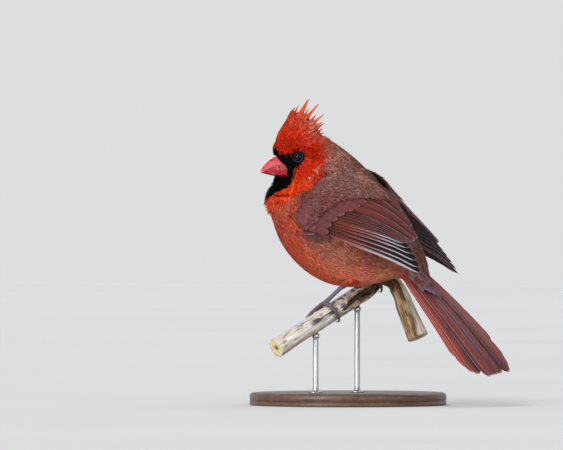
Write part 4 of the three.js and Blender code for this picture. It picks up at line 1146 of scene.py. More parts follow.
# loose feathers that stand out from the chin and throat
t, ph = sample_body(60000, 0.9, 4.8, 1.0, 31, lambda t, p, P: (np.sin(p) < -0.74) & ~on_bill(body(t, p, turned=False)))
tip, root, mk, up, hd = marking(t, ph)
tip = np.where(mk[:, None], C["mask"], mix(tip, C["edge"], 0.7))
rng = np.random.default_rng(33)
k = smooth(0.8, 2.0, t) * smooth(4.6, 3.2, t) * smooth(-0.72, -0.9, np.sin(ph)) * np.where(mk, 1.0, rng.uniform(0.2, 1.0, len(t)))
parts = [tufts(OnBody(t, ph), (4.5 + 3.2 * k) * np.where(mk & (np.sin(ph) > -0.87), 0.45, 1.0), 0.48, np.stack([-1.0 + 0.2 * k, -0.2 + 1.5 * k, 0.2 + 3.4 * k], -1), (root, tip), 4, 1.6, 0.22, 0.14, 3, 0.3, 0.6, 32, 0.2, 0.07)]
# a few loose pointed locks hang free in front of the breast
rows = []
for ry, rz, ty, tz, r in THROAT_LOCKS:
    m = 40
    rr, aa = r * np.sqrt(rng.uniform(0, 1, m)), rng.uniform(0, 2 * pi, m)
    d = unit(np.array([ty - ry, tz - rz], float))
    across = np.array([d[1], -d[0]])
    L = np.hypot(ty - ry, tz - rz)
    reach = np.where(np.arange(m) < 8, rng.uniform(0.92, 1.02, m), rng.uniform(0.4, 0.95, m))
    start = np.array([ry, rz]) + across * (rr * np.cos(aa))[:, None] - d * 2.5
    end = np.array([ty, tz]) + across * (0.25 * rr * np.cos(aa))[:, None] - d * (L * (1 - reach))[:, None]
    x0 = rng.uniform(0.5, 7.5) + 1.6 * rr * np.sin(aa)
    pts = []
    for f in (0, 0.25, 0.5, 0.75, 1.0):
        q = start + (end - start) * f + np.array([-0.5, 0.3]) * sin(pi * f)
        pts.append(np.stack([x0 * (1 - 0.15 * f), q[:, 0], q[:, 1]], -1))
    rows.append(turn_head(np.stack(pts, 1)))
W = np.concatenate(rows)
nrm = unit(turn_head(np.stack([np.ones(len(W)), 0 * W[:, 0, 0] + PIVOT_Y, rng.normal(0, 0.2, len(W))], -1)) - np.array([0, PIVOT_Y, 0]))
HW = head_back(W[:, 0])
parts.append(strands(W, nrm, rng.uniform(0.36, 0.6, len(W)), 0.2, np.tile(C["cheek"], (len(W), 1)), np.tile(C["edge"], (len(W), 1)),
                     np.stack([(HW[:, 1] + 62) / 60, (HW[:, 2] - 110) / 45], -1), 0.25, 6))
coat("coat_throat", parts, "plumage_red")

# thighs, their locks darkened as painted shade under the belly
parts = []
for i, foot in enumerate(("left", "right")):
    line, rad = thigh_line(foot)
    m = 900
    k, a = rng.uniform(1.2, 3.75, m), rng.uniform(0, 2 * pi, m)
    P0, T = cr(k, line), unit(cr(np.minimum(k + 0.05, 3.99), line) - cr(k - 0.05, line))
    s1 = unit(np.cross(T, np.array([1.0, 0.2, 0.1])))
    s2 = np.cross(T, s1)
    n = s1 * np.cos(a)[:, None] + s2 * np.sin(a)[:, None]
    P = P0 + n * (np.interp(k, np.arange(5), rad) - 1.3)[:, None]
    # the locks' colour is the belly's at 0.4 to 0.75 of its brightness, with roots darker still: painted shade under
    # the belly
    tipc = mix(C["belly"], C["flank"], 0.5 * smooth(1.5, 3.5, k)) * rng.uniform(0.4, 0.75, m)[:, None]
    uv = np.stack([0.02 + 0.46 * (a / (2 * pi)) + 0.5 * i, k / 4 * 0.96 + 0.02], -1)
    parts.append(tufts(Free(P, T - n * 0.12, n, uv, -0.25), np.interp(k, [0.6, 2.5, 3.8], [7, 5.5, 3.2]), 0.5, (-0.2, 0.2, 0.2), (tipc * 0.6, tipc), 4, 1.9, 0.3, 0.14, 2, 0.3, 0.3, 40 + i))
coat("coat_thighs", parts, "plumage_red")


# ---------------------------------------------------------------- vanes: the long feathers of wings and tail
U = np.array([-1, -0.965, -0.92, -0.86, -0.78, -0.66, -0.5, -0.32, -0.16, -0.05, 0, 0.05, 0.16, 0.34, 0.54, 0.74, 0.88, 0.95, 1.0])


def vane(at, length, outer, inner, over, colour, patch, nv=30, thick=0.26, blunt=0.3, power=2.3, camber=0.5, rachis=0.16, narrow=0.5, split=0.0, seed=0, below=None):
    """One feather as a thin closed shell. at(v, off, h) maps along, across (mm, positive towards the inner web) and up; outer and inner are the webs' widths; colour(u, v, off) the paint; patch its place on the map."""
    rng = np.random.default_rng(seed)
    v = np.concatenate([np.linspace(0, 1 - blunt, int(nv * 0.62), endpoint=False), 1 - blunt * (1 - np.sin(np.linspace(0, pi / 2, nv - int(nv * 0.62))))])
    nu, nv = len(U), len(v)
    vv, uu = np.meshgrid(v, U, indexing="ij")
    w = (narrow + (1 - narrow) * np.sin(np.clip(vv * 2.2, 0, 1) * pi / 2)) * np.where(vv > 1 - blunt, np.maximum(0.02, 1 - np.maximum(0, (vv - (1 - blunt)) / blunt) ** power) ** 0.55, 1.0)
    # barbs part here and there along the edges
    if split:
        nick = noise(np.stack([vv * length, np.sign(uu) * 9, 0 * vv + seed], -1), 1.1, seed)
        w = w * (1 - split * np.abs(uu) ** 3 * smooth(0.62, 0.9, nick))
    off = np.where(uu < 0, uu * outer, uu * inner) * w
    h = over[0] + (over[1] - over[0]) * vv + camber * (1 - uu**2) * 0.6 - camber * 0.3
    ridge = rachis * np.exp(-(off / (0.34 * (1.15 - 0.7 * vv))) ** 2) * (1.1 - vv)
    ripple = 0.008 * np.sin((vv * length - np.abs(off) * 1.2) * 2 * pi / 1.6)
    th = thick * (0.45 + 0.55 * (1 - np.abs(uu)))
    top = at(vv, off, h + ridge + ripple)
    bot = at(vv, off, h - th - ridge * 0.4)
    col = colour(uu, vv, off)
    V = np.concatenate([top.reshape(-1, 3), bot.reshape(-1, 3)])
    i, j = np.meshgrid(np.arange(nv - 1), np.arange(nu - 1), indexing="ij")
    a = (i * nu + j).ravel()
    b, c, d = a + 1, a + nu + 1, a + nu
    N = nu * nv
    F = [np.stack([a, d, c, b], -1), np.stack([a, b, c, d], -1) + N]
    rim = np.concatenate([np.arange(nu), nu - 1 + nu * np.arange(1, nv), (nv - 1) * nu + np.arange(nu - 2, -1, -1), nu * np.arange(nv - 2, 0, -1)])
    r2 = np.roll(rim, -1)
    F.append(np.stack([rim, r2, r2 + N, rim + N], -1))
    uv = np.stack([patch[0] + (uu * 0.5 + 0.5) * patch[2] * 0.48, patch[1] + vv * patch[3]], -1).reshape(-1, 2)
    under = uv + np.array([patch[2] * 0.52, 0.0])
    mm = np.stack([off / 100 + 0.5, vv * length / 100], -1).reshape(-1, 2)
    return V, F, np.concatenate([col.reshape(-1, 3), below(uu, vv, off).reshape(-1, 3) if below else col.reshape(-1, 3) * 0.9]), {"OFBake": np.concatenate([uv, under]), "vane": np.concatenate([mm, mm])}


def grid_patch(i, n, cols=10):
    rows = -(-n // cols)
    return ((i % cols + 0.04) / cols, (i // cols + 0.03) / rows, 0.92 / cols, 0.94 / rows)


def chord(a):
    return np.linalg.norm(wing(a, 0.75) - wing(a, 0.25), axis=-1) * 2


def on_sheet(a0, a1, bs, side, grow=1.0):
    """Maps a feather's own coordinates to the wing: its shaft runs through (a0, b0) to (a1, b1) with bs as (at v=0, middle, end)."""
    def at(v, off, h):
        a = a0 + (a1 - a0) * v
        b = bs[0] * (1 - v) * (1 - 2 * v) + 4 * bs[1] * v * (1 - v) + bs[2] * v * (2 * v - 1)
        return wing(a, b + off / chord(np.clip(a, 0, 4)), h, side)
    return at


def fixed(*c):
    return lin(*c)


def tint(base, kind, seed=0):
    """Colour functions of the feathers, over u across (-1 the lower, outer edge) and v along."""
    K = {k: lin(*v) for k, v in dict(red=(108, 38, 26), pink=(130, 82, 77), lilac=(158, 149, 158), black=(8, 5, 8), brown=(74, 33, 27), mauve=(100, 50, 52), overlap_shade=(54, 26, 27),
                                     line=(112, 98, 108), grey=(78, 68, 78), slate=(84, 43, 38), orange=(170, 56, 28), paleedge=(118, 86, 84), wine=(58, 25, 25), far=(98, 82, 94), fartert=(190, 146, 146), tert=(95, 41, 37)).items()}

    def f(u, v, off):
        s = noise(np.stack([off * 2.2, v * 14, 0 * v + seed], -1), 1.0, seed) - 0.5
        if kind == "primary":
            pale, bw = base
            edge = mix(mix(K["red"], K["pink"], smooth(0.34 - pale, 0.66 - pale, v)), K["lilac"], smooth(0.58 - pale, 0.88 - pale, v))
            c = mix(K["black"], K["wine"], 0.6 * smooth(0.45, 0.05, v))
            bw = bw * (1.06 - 0.62 * v)
            band = smooth(-1 + bw + 0.07, -1 + bw - 0.04, u + 0.08 * s) * (0.3 + 0.7 * smooth(0.985, 0.92, v))
            c = mix(c, edge * (1 + 0.3 * s)[..., None], band)
            return mix(c, K["lilac"] * 0.7, 0.35 * smooth(0.978, 0.995, v))
        if kind == "secondary":
            c = mix(K["brown"], K["red"], 0.45 * smooth(0.7, 0.1, v) * smooth(0.2, -0.6, u))
            # the part that lies under the next feather is dark, showing as a thin dark line: the inner web's own dark
            # and painted shadow of the overlap
            dark = smooth(-0.74, -0.60, u + 0.04 * s) * smooth(0.02, 0.25, v) * (1.0 - base * smooth(-0.55, -0.4, u))
            c = mix(c, K["black"] * 1.8, 0.85 * np.clip(dark, 0, 1))
            edge = 0.8 * smooth(-0.93, -0.98, u) * smooth(0.25, 0.5, v) + smooth(0.965, 0.99, v)
            return mix(c * (1 + 0.4 * s)[..., None], K["line"], 0.8 * np.clip(edge, 0, 1))
        if kind == "tertial":
            dark, red = base
            c = mix(K["tert"], K["wine"], smooth(0.15, 0.9, np.abs(u)))
            # a black band just inside the pale lower edge: painted shadow under the feather's rim
            c = mix(c, K["black"] * 2.2, dark * smooth(-0.62, -0.84, u) * smooth(0.35, 0.7, v) * smooth(-0.97, -0.9, u))
            c = mix(c, K["red"], 0.7 * red * smooth(-0.1, -0.5, u) * smooth(-0.9, -0.7, u) * smooth(0.85, 0.35, v))
            edge = smooth(-0.90, -0.955, u) + smooth(0.93, 0.97, u) + smooth(0.955, 0.985, v)
            return mix(c * (1 + 0.45 * s)[..., None], K["line"], 0.9 * np.clip(edge, 0, 1) * smooth(0.12, 0.4, v))
        if kind == "covert":
            # darker towards the inner side and the root: painted shade beneath the next feather
            c = mix(K["mauve"], K["overlap_shade"], 0.7 * smooth(0.15, 0.85, u) + 0.35 * smooth(0.6, 0.0, v))
            c = c * (1 + 0.5 * s)[..., None] * (base or 0.85)
            return mix(c, K["paleedge"], 0.6 * np.clip(smooth(0.94, 0.985, v) + smooth(-0.9, -0.96, u) * smooth(0.4, 0.8, v), 0, 1))
        if kind == "primary_covert":
            # darker towards the root: painted shade under the feathers that lie over it
            c = mix(K["slate"], K["overlap_shade"], 0.5 * smooth(0.6, 0.0, v))
            c = mix(c, K["black"] * 2.2, 0.55 * smooth(-0.3, 0.3, u))
            return mix(c * (1 + 0.6 * s)[..., None], K["grey"], np.clip(0.5 * smooth(-0.80, -0.92, u) + 0.35 * smooth(0.86, 0.96, v), 0, 1))
        if kind == "far":  # the undersides, dark towards the tips, each with a pale rim
            c = mix(K["fartert"], K["far"], smooth(0.35, 0.75, v + 0.15 * (1 - base)))
            c = mix(c, K["black"] * 3.0, 0.8 * smooth(0.7, 0.2, u) * smooth(0.4, 0.8, v) * (base <= 1))
            edge = smooth(0.74, 0.86, u) + smooth(-0.84, -0.92, u) + smooth(0.97, 0.985, v)
            return mix(c * (1 + 0.5 * s)[..., None], mix(K["pink"] * 1.8, K["line"] * 3.2, smooth(0.1, 0.5, v)), 0.85 * np.clip(edge, 0, 1))
        if kind == "far_tertial":
            c = mix(K["fartert"], K["far"], 0.6 * smooth(-0.1, 0.7, np.abs(u)))
            edge = smooth(-0.90, -0.955, u) + smooth(0.93, 0.97, u) + smooth(0.955, 0.985, v)
            return mix(c * (1 + 0.4 * s)[..., None], K["line"], 0.9 * np.clip(edge, 0, 1) * smooth(0.1, 0.35, v))
        if kind == "rim_orange":
            return mix(K["wine"], K["orange"], smooth(0.0, 0.4, v)) * (1 + 0.8 * s)[..., None]
        if kind == "rim_pale":
            return mix(K["mauve"], K["line"], 0.8 * smooth(0.3, -0.4, u)) * (1 + 0.8 * s)[..., None]
        raise ValueError(kind)
    return f


def lens(side, off=0.0, na=46, nb=30):
    """The feathered arm under the coverts."""
    j = np.linspace(0, 1, nb)
    b = lerp(-0.02, 0.96, j)
    rows = []
    for s in np.linspace(0, 1, na):
        end = 0.66 + 1.24 * np.maximum(0, b) ** 0.8
        a = lerp(-0.13, end, s)
        edge = np.sqrt(np.maximum(0, 1 - np.abs(2 * j - 1) ** 5))
        front = float(smooth(-0.02, 0.24, s))
        taper = 1 - smooth(0.85, 1.0, s) * 0.55
        top = wing(a, b, -0.75 + (1.65 + 1.7 * edge - 0.5 * s) * front * taper - off, side)
        low = wing(a, b, -0.9 + off + 0 * b, side)
        rows.append(np.concatenate([top, low[::-1]]))
    V = np.concatenate(rows)
    return np.concatenate([V, rows[0].mean(0)[None], rows[-1].mean(0)[None]]), tube_faces(na, 2 * nb)


class OnWing:
    """Locks that follow the wing's sheet."""

    def __init__(self, a, b, side, uv, slope=0.0):
        self.a0, self.b0, self.side, self.uv, self.slope = a, b, side, uv, slope

    def at(self):
        e = 0.02
        P = wing(self.a, self.b, 0.0, self.side)
        da = wing(self.a + e, self.b, 0.0, self.side) - P
        db = wing(self.a, self.b + e, 0.0, self.side) - P
        self.la, self.lb = np.linalg.norm(da, axis=1) / e, np.linalg.norm(db, axis=1) / e
        n = unit(np.cross(da, db)) * self.side
        ta = unit(da)
        tb = unit(np.cross(n, ta)) * self.side
        self.ang = np.broadcast_to(self.ang, self.a.shape)
        return P, ta * np.cos(self.ang)[:, None] + tb * np.sin(self.ang)[:, None], n

    def begin(self, o, ang):
        self.a, self.b, self.ang = self.a0.copy(), self.b0.copy(), ang + self.slope
        self.at()
        self.b = self.b + o / self.lb
        return self.at()

    def go(self, L):
        self.a = self.a + L * np.cos(self.ang) / self.la
        self.b = self.b + L * np.sin(self.ang) / self.lb
        return self.at()


def make_wing(name, side, far):
    parts, total = [], 40
    def put(i, *args, **kw):
        parts.append(vane(*args, patch=grid_patch(i, total), seed=i + 3, **kw))
    n = 0
    # primaries, lowest edge first
    P_ROOT = [0.0, 0.035, 0.072, 0.11, 0.148, 0.186, 0.222]
    P_TIP = [(3.52, 0.0), (3.84, 0.06), (3.82, 0.175), (3.71, 0.29), (3.57, 0.385), (3.42, 0.45), (3.30, 0.50)]
    for i in range(7):
        e0, (a1, e1) = P_ROOT[i], P_TIP[i]
        half = 3.0
        c0, c1 = e0 + half / 33 , e1 + 1.5 / 29
        a0 = 0.8
        mid = lerp(e0, e1, 0.42) + half / 36
        pale = 0.22 if i < 2 else 0.06
        kind = tint((pale, 0.42 if i > 1 else 0.62), "primary", i)
        below = tint(i / 6, "far", i)
        if i == 0:
            c0, mid, c1 = c0 + 0.01, mid + 0.02, c1 + 0.01
        if far:
            a1, e1 = min(a1 + 0.06, 3.86), e1 - 0.035
            c1, mid = e1 + 1.5 / 29, mid - 0.01
        put(n, on_sheet(a0, a1, (c0, mid, c1), side), 70, half if i else 1.9, half, (0.15 + 0.17 * i, 0.10 + 0.19 * i), kind, blunt=0.26 if far else 0.13, power=1.7, camber=0.16, thick=0.2, split=0.1, below=below)
        n += 1
    S_ROOT = [0.255, 0.28, 0.31, 0.345, 0.385, 0.43, 0.48]
    S_MID = [0.385, 0.43, 0.475, 0.52, 0.565, 0.61, 0.655]
    S_TIP = [(3.36, 0.53), (3.40, 0.55), (3.44, 0.57), (3.48, 0.59), (3.52, 0.61), (3.56, 0.63), (3.59, 0.65)]
    for i in range(7):
        e0, (a1, e1) = S_ROOT[i], S_TIP[i]
        half = 3.2
        put(n, on_sheet(1.0, a1, (e0 + half / 38, S_MID[i] + half / 36, e1 + 1.8 / 30), side), 58, half, half, (1.36 + 0.13 * i, 1.43 + 0.13 * i),
            tint(0.6 if i == 6 else 0.0, "secondary", i + 10), blunt=0.12, power=2.0, camber=0.16, thick=0.2, split=0.08, below=tint(1.2 + 0.1 * i, "far", i))
        n += 1
    T = [((1.45, 0.475), 0.60, (3.64, 0.70), 4.3, (1.0, 0.5)), ((1.5, 0.58), 0.745, (3.76, 0.84), 5.0, (0.9, 0.6)), ((1.5, 0.70), 0.90, (3.50, 0.99), 5.4, (0.3, 0.3)), ((1.4, 0.84), 1.0, (3.0, 1.08), 5.0, (0.0, 0.1))]
    for i, ((a0, e0), em, (a1, e1), half, paint) in enumerate(T):
        hh = half / 33
        put(n, on_sheet(a0, a1, (e0 + hh, em + hh, e1 + 0.55 * hh), side), 52, half, half * 1.05, (2.3 + 0.27 * i, 2.4 + 0.27 * i), tint(paint, "tertial", i + 20), below=tint(None, "far_tertial", i + 20), blunt=0.26, power=2.2, camber=0.4, thick=0.24, split=0.06)
        n += 1
    # primary coverts and alula
    for i in range(5):
        e = -0.005 + 0.03 * i
        put(n, on_sheet(0.35, 1.2 - 0.02 * i, (e + 0.05, e + 0.035, e + 0.03), side), 18, 1.5, 1.6, (0.8 + 0.1 * i, 0.75 + 0.12 * i), tint(None, "primary_covert", i + 30), blunt=0.2, power=2.0, camber=0.3, thick=0.25, nv=22, split=0.06)
        n += 1
    put(n, on_sheet(0.16, 0.95, (0.01, 0.0, 0.0), side), 16, 1.3, 1.6, (1.6, 1.5), tint(None, "primary_covert", 38), blunt=0.25, camber=0.3, nv=22)
    n += 1
    # greater coverts, then the median ones over their roots
    gb = np.linspace(0.12, 0.80, 7)
    for i, b in enumerate(gb):
        a1 = float(np.interp(b, [0.1, 0.24, 0.42, 0.62, 0.8], [1.16, 1.2, 1.40, 1.72, 1.86]))
        tilt = lerp(0.10, -0.04, (b - 0.12) / 0.68)
        put(n, on_sheet(a1 - 1.0, a1, (b + tilt, b + 0.35 * tilt, b), side), 20, 3.1, 3.3, (2.6 + 0.09 * i, 2.3 + 0.15 * i), tint(None, "covert", i + 50), blunt=0.34, power=2.4, camber=0.5, nv=22, split=0.05)
        n += 1
    mb = np.linspace(0.12, 0.80, 7)
    for i, b in enumerate(mb):
        a1 = float(np.interp(b, [0.1, 0.24, 0.42, 0.62, 0.8], [0.74, 0.78, 0.92, 1.14, 1.28]))
        tilt = lerp(0.10, -0.04, (b - 0.12) / 0.68)
        put(n, on_sheet(a1 - 0.8, a1, (b + tilt, b + 0.35 * tilt, b), side), 15, 3.0, 3.2, (3.2 + 0.03 * i, 3.0 + 0.09 * i), tint(1.25, "covert", i + 70), blunt=0.42, power=2.2, camber=0.5, nv=20, split=0.05)
        n += 1
    # the rim of small feathers along the front edge, orange and then pale
    for (a0, a1, bs, kind_, seed_) in ((-0.38, 0.24, (0.10, -0.01, -0.075), "rim_orange", 90), (0.14, 0.74, (-0.085, -0.04, 0.035), "rim_pale", 91)):
        put(n, on_sheet(a0, a1, bs, side), 14, 0.55, 0.9, (0.2, 1.9) if seed_ == 90 else (1.7, 1.9), tint(None, kind_, seed_), blunt=0.3, power=2.0, camber=0.4, nv=22, split=0.4)
        n += 1
    V, F, col, uv = merge(parts)
    ob = build("wing_%s_feathers" % name, V, F, col, uv)
    give(ob, MAT_WING, "wing_feathers", "wing_%s_primaries" % name, "wing_%s_secondaries" % name)
    # the arm
    V, F = lens(side)
    a, b, h, nn, away = on_wing(V)
    c = mix(C["shoulder"], lin(150, 86, 86), smooth(0.3, 1.2, a)) * (0.85 + 0.3 * noise(V, 2.0, 4))[:, None]
    arm = build("wing_%s_arm" % name, V, F, c * 0.8)
    give(arm, MAT_SKIN, "wing_feathers", "wing_%s_coverts" % name)
    # lesser coverts, scapulars and the body feathers that lap over the wing's front edge
    rng = np.random.default_rng(60 + far)
    m = 14000
    a, b = rng.uniform(-0.42, 2.1, m), rng.uniform(-0.05, 1.12, m)
    ok = a < np.interp(b, [0, 0.1, 0.25, 0.4, 0.62, 0.74, 0.9, 1.12], [0.10, 0.36, 0.52, 0.66, 0.92, 1.2, 1.6, 2.05])
    a, b = a[ok], b[ok]
    key = np.floor(wing(a, b) / 1.25).astype(np.int64)
    _, first = np.unique(key[:, 0] * 1000003 + key[:, 1] * 1009 + key[:, 2], return_index=True)
    a, b = a[first], b[first]
    Pw = wing(a, b)
    n1 = noise(Pw, 3.0, 5) - 0.5
    c = mix(C["shoulder"], C["mantle"], smooth(0.55, 0.95, b + n1 * 0.3))
    lap = smooth(-0.10, -0.26, a + n1 * 0.2 + 0.3 * smooth(0.2, 0.55, b))
    rear = np.interp(b, [0, 0.1, 0.25, 0.4, 0.62, 0.74, 0.9, 1.12], [0.10, 0.36, 0.52, 0.66, 0.92, 1.2, 1.6, 2.05])
    c = mix(c, lin(118, 66, 66), 0.8 * smooth(-0.34, -0.04, a - rear + 0.3 * n1) * smooth(0.95, 0.7, b))
    breast = mix(C["breast_low"], C["shoulder"], smooth(-0.1, 0.5, n1 + 0.5 * b))
    c = mix(c, breast, lap)
    c = mix(c, C["edge"], 0.8 * smooth(0.035, 0.0, b) * smooth(-0.2, -0.05, a))
    stray = rng.uniform(0, 1, len(a)) < 0.15
    c = np.where(stray[:, None], mix(c, C["grey"], 0.4), c)
    uv = np.stack([(a + 0.5) / 2.8, (b + 0.1) / 1.3], -1)
    edge = np.sqrt(np.maximum(0.0, 1 - np.abs(2 * np.clip(b, 0, 1) - 1) ** 5))
    height = -0.75 + (1.65 + 1.7 * edge) * smooth(-0.15, 0.25, a)
    height = height + 1.0 * smooth(0.0, 0.3, a)
    height = height + (3.6 - height) * smooth(0.8, 1.3, a)
    ahead = -0.75 + (1.65 + 1.7 * edge) * smooth(-0.15, 0.25, a + 0.13)
    ahead = np.maximum(height, ahead + 1.0 * smooth(0.0, 0.3, a))
    low = smooth(-0.18, -0.36, a)
    rise = np.stack([height - 1.2 - 1.6 * low, (height + ahead) / 2 - 0.1 - 0.4 * low, ahead + 0.3], -1)
    long = np.interp(a, [-0.4, 0.0, 0.8, 2.0], [6.5, 6.5, 7.5, 10.0])
    # roots painted darker than the tips: partly the feathers' duller bases, partly painted shade in the gaps
    coat("coat_wing_%s" % name, [tufts(OnWing(a, b, side, uv, 0.12), long, 0.6, rise, (mix(c * 0.68, C["under"] * 0.5, 0.2), c), 6, 2.8, 0.3, 0.16, 3, 0.25, 0.22, 61 + far, 0.22)], "wing_feathers")


make_wing("left", 1, 0)
make_wing("right", -1, 1)


# ---------------------------------------------------------------- tail
ROLL = radians(10)
SPREAD = (radians(1.72), radians(2.2))
td = unit(TAIL_TIP - TAIL_ROOT)
tx = unit(np.array([1.0, 0, 0]) - td * td[0])
tn = unit(np.cross(tx, td))
tn = tn * (1 if tn[2] > 0 else -1)
tside, tnn = tx * cos(ROLL) - tn * sin(ROLL), tn * cos(ROLL) + tx * sin(ROLL)


FANNED = {0.5: 0.85, 1.5: 2.6, 2.5: 6.9, 3.5: 8.0, 4.5: 8.6, 5.5: 9.0, -0.5: -0.85, -1.5: -2.5, -2.5: -6.5, -3.5: -7.3, -4.5: -8.3, -5.5: -10.0}
REACH = {0.5: 1.0, 1.5: 1.005, 2.5: 0.985, 3.5: 0.985, 4.5: 0.975, 5.5: 0.93, -0.5: 1.0, -1.5: 1.0, -2.5: 1.02, -3.5: 1.01, -4.5: 0.975, -5.5: 0.86}


def tail_at(k):
    ang = radians(FANNED[float(k)])
    d, ac = td * cos(ang) + tside * sin(ang), tside * cos(ang) - td * sin(ang)
    m = abs(k)
    L = TAIL_LENGTH * (1 - 0.0042 * max(0, m - 0.5) ** 2) * REACH[float(k)]

    def at(v, off, h):
        c = TAIL_ROOT + d * (v * L)[..., None] + tside * (k * (0.55 if k > 0 else 1.45))
        # off grows towards the tail's middle, so that the outer web is the edge
        return c + ac * (-off * (1 if k > 0 else -1))[..., None] + tnn * (h - 0.52 * m * (1 - 0.15 * v) + 1.2 * np.sin(pi * v))[..., None]
    return at, L


def tail_paint(k, seed):
    K = {n: lin(*v) for n, v in dict(body=(110, 55, 52), red=(140, 46, 29), bright=(168, 58, 32), pink=(118, 68, 64), pale=(176, 138, 140), dark=(14, 7, 9), blue=(32, 23, 36), shaft=(104, 116, 150), wine=(76, 34, 36)).items()}

    def f(u, v, off):
        s = noise(np.stack([off * 2.5, v * 16, 0 * v], -1), 1.0, seed) - 0.5
        s2 = noise(np.stack([off * 0.8, v * 60, 0 * v], -1), 1.0, seed + 50) - 0.5
        c = mix(K["body"], K["wine"], smooth(-0.4, 0.9, u))
        m = abs(k)
        if k > 3:
            c = mix(c, K["red"], 0.85 * smooth(0.3, -0.3, u))
            c = mix(c, K["bright"], 0.7 * smooth(-0.3, -0.8, u) * (m > 4))
        if k == 2.5:
            c = mix(c, K["red"], 0.35 * smooth(0.2, -0.4, u))
            c = mix(c, K["dark"], 0.97 * smooth(-0.35, 0.0, u) * smooth(0.2, 0.45, v) * smooth(1.0, 0.95, v))
        if k == 1.5:
            c = mix(c, K["dark"], 0.9 * smooth(-0.62, -0.85, u) * smooth(0.3, 0.6, v))
        if k < -2:
            c = mix(c, K["pink"], 0.7 * smooth(0.1, -0.6, u) * smooth(0.0, 0.3, v) * smooth(1.0, 0.8, v))
            c = mix(c, K["bright"], 0.8 * smooth(-0.6, -0.85, u) * (m > 5))
        # on this feather a blue-black band over the outer web: painted shadow
        if k == -1.5:
            c = mix(c, K["blue"], 0.92 * smooth(0.05, -0.30, u) * smooth(0.10, 0.25, v) * smooth(1.0, 0.93, v))
        # bluish pale lines along the shafts of the middle feathers and the next two: painted highlight
        if m < 1:
            c = mix(c, K["shaft"], 0.9 * np.exp(-(off / 0.26) ** 2) * smooth(0.95, 0.75, v) * (0.75 if k > 0 else 1.0))
        elif k == 2.5 or k == 1.5:
            c = mix(c, K["shaft"], (0.7 if k == 1.5 else 0.3) * np.exp(-(off / 0.28) ** 2))
        else:
            c = mix(c, K["dark"] * 1.6, 0.4 * np.exp(-(off / 0.4) ** 2))
        edge = np.clip(smooth(-0.90, -0.965, u) * smooth(0.1, 0.3, v) * (0.8 if m > 1 else 0.35) + smooth(0.987, 0.996, v) + 0.4 * smooth(0.94, 0.98, u) * smooth(0.5, 0.8, v), 0, 1)
        return mix(c * (1 + 0.45 * s + 0.25 * s2)[..., None], K["pale"], 0.8 * edge)
    return f


parts = []
for i, k in enumerate(np.arange(-5.5, 6, 1)):
    at, L = tail_at(k)
    parts.append(vane(at, L, 5.4, 6.4, (0, 0), tail_paint(k, i + 3), patch=grid_patch(i, 12, 6), nv=54, blunt=0.085, power=1.5, camber=0.7, thick=0.34, narrow=0.42, split=0.09, seed=i, rachis=0.3))
V, F, col, uv = merge(parts)
give(build("tail_feathers", V, F, col, uv), MAT_TAIL, "tail_feathers", "tail")

# the coverts over the tail's root, long and loose, with bluish grey tips
parts = []
rng = np.random.default_rng(77)


def on_rump(t0, t1, phi, lift0, lift1):
    """Maps a feather to the rump, running on past its end along the tail."""
    def at(v, off, h):
        t = lerp(t0, t1, v)
        tt = np.minimum(t, 14.5)
        P, a, b, n = body_frame(tt, phi + 0 * tt)
        side = unit(b)
        P = P + side * (-off)[..., None] - n * (0.045 * off**2)[..., None]
        run = unit(lerp(unit(a), td, 0.7))
        return P + n * (h + lerp(lift0, lift1, v))[..., None] + run * ((t - tt) * 9.0)[..., None]
    return at


def covert_paint(seed, tipped):
    K = {n: lin(*v) for n, v in dict(a=(116, 68, 62), b=(80, 42, 40), tip=(108, 98, 114), pale=(136, 106, 108)).items()}

    def f(u, v, off):
        s = noise(np.stack([off * 2.5, v * 9, 0 * v], -1), 1.0, seed) - 0.5
        c = mix(K["a"], K["b"], smooth(0.2, 0.9, np.abs(u)))
        c = mix(c, K["tip"], tipped * smooth(0.72, 0.92, v + 0.1 * s))
        return mix(c * (1 + 0.7 * s)[..., None], K["pale"], 0.4 * smooth(0.95, 0.99, v) + 0.3 * smooth(0.9, 0.97, np.abs(u)))
    return f


total, i = 30, 0
for t0, t1, n, half, tipped in ((11.9, 13.7, 8, 3.0, 0.15), (12.7, 14.5, 9, 2.7, 0.5), (13.4, 15.5, 8, 2.4, 0.7)):
    for j in range(n):
        phi = radians(lerp(-14, 172, (j + 0.5) / n)) + rng.normal(0, 0.04)
        e = abs(phi - radians(79)) / radians(95)
        jig = rng.uniform(-0.15, 0.15) - 0.25 * e
        length = 17.0
        parts.append(vane(on_rump(t0 + jig, t1 + jig + 0.5 * smooth(150, 110, np.degrees(phi)) * smooth(20, 60, np.degrees(phi)), phi, -0.9, 0.4 + rng.uniform(0, 0.4)), length, half, half, (0, 0), covert_paint(i, tipped), patch=grid_patch(i, total, 6), nv=26, blunt=0.45, power=1.7, camber=0.35,
                          thick=0.2, narrow=0.6, split=0.45, seed=i + 90, rachis=0.08))
        i += 1
V, F, col, uv = merge(parts)
give(build("tail_coverts", V, F, col, uv), MAT_COVERT, "plumage_back")

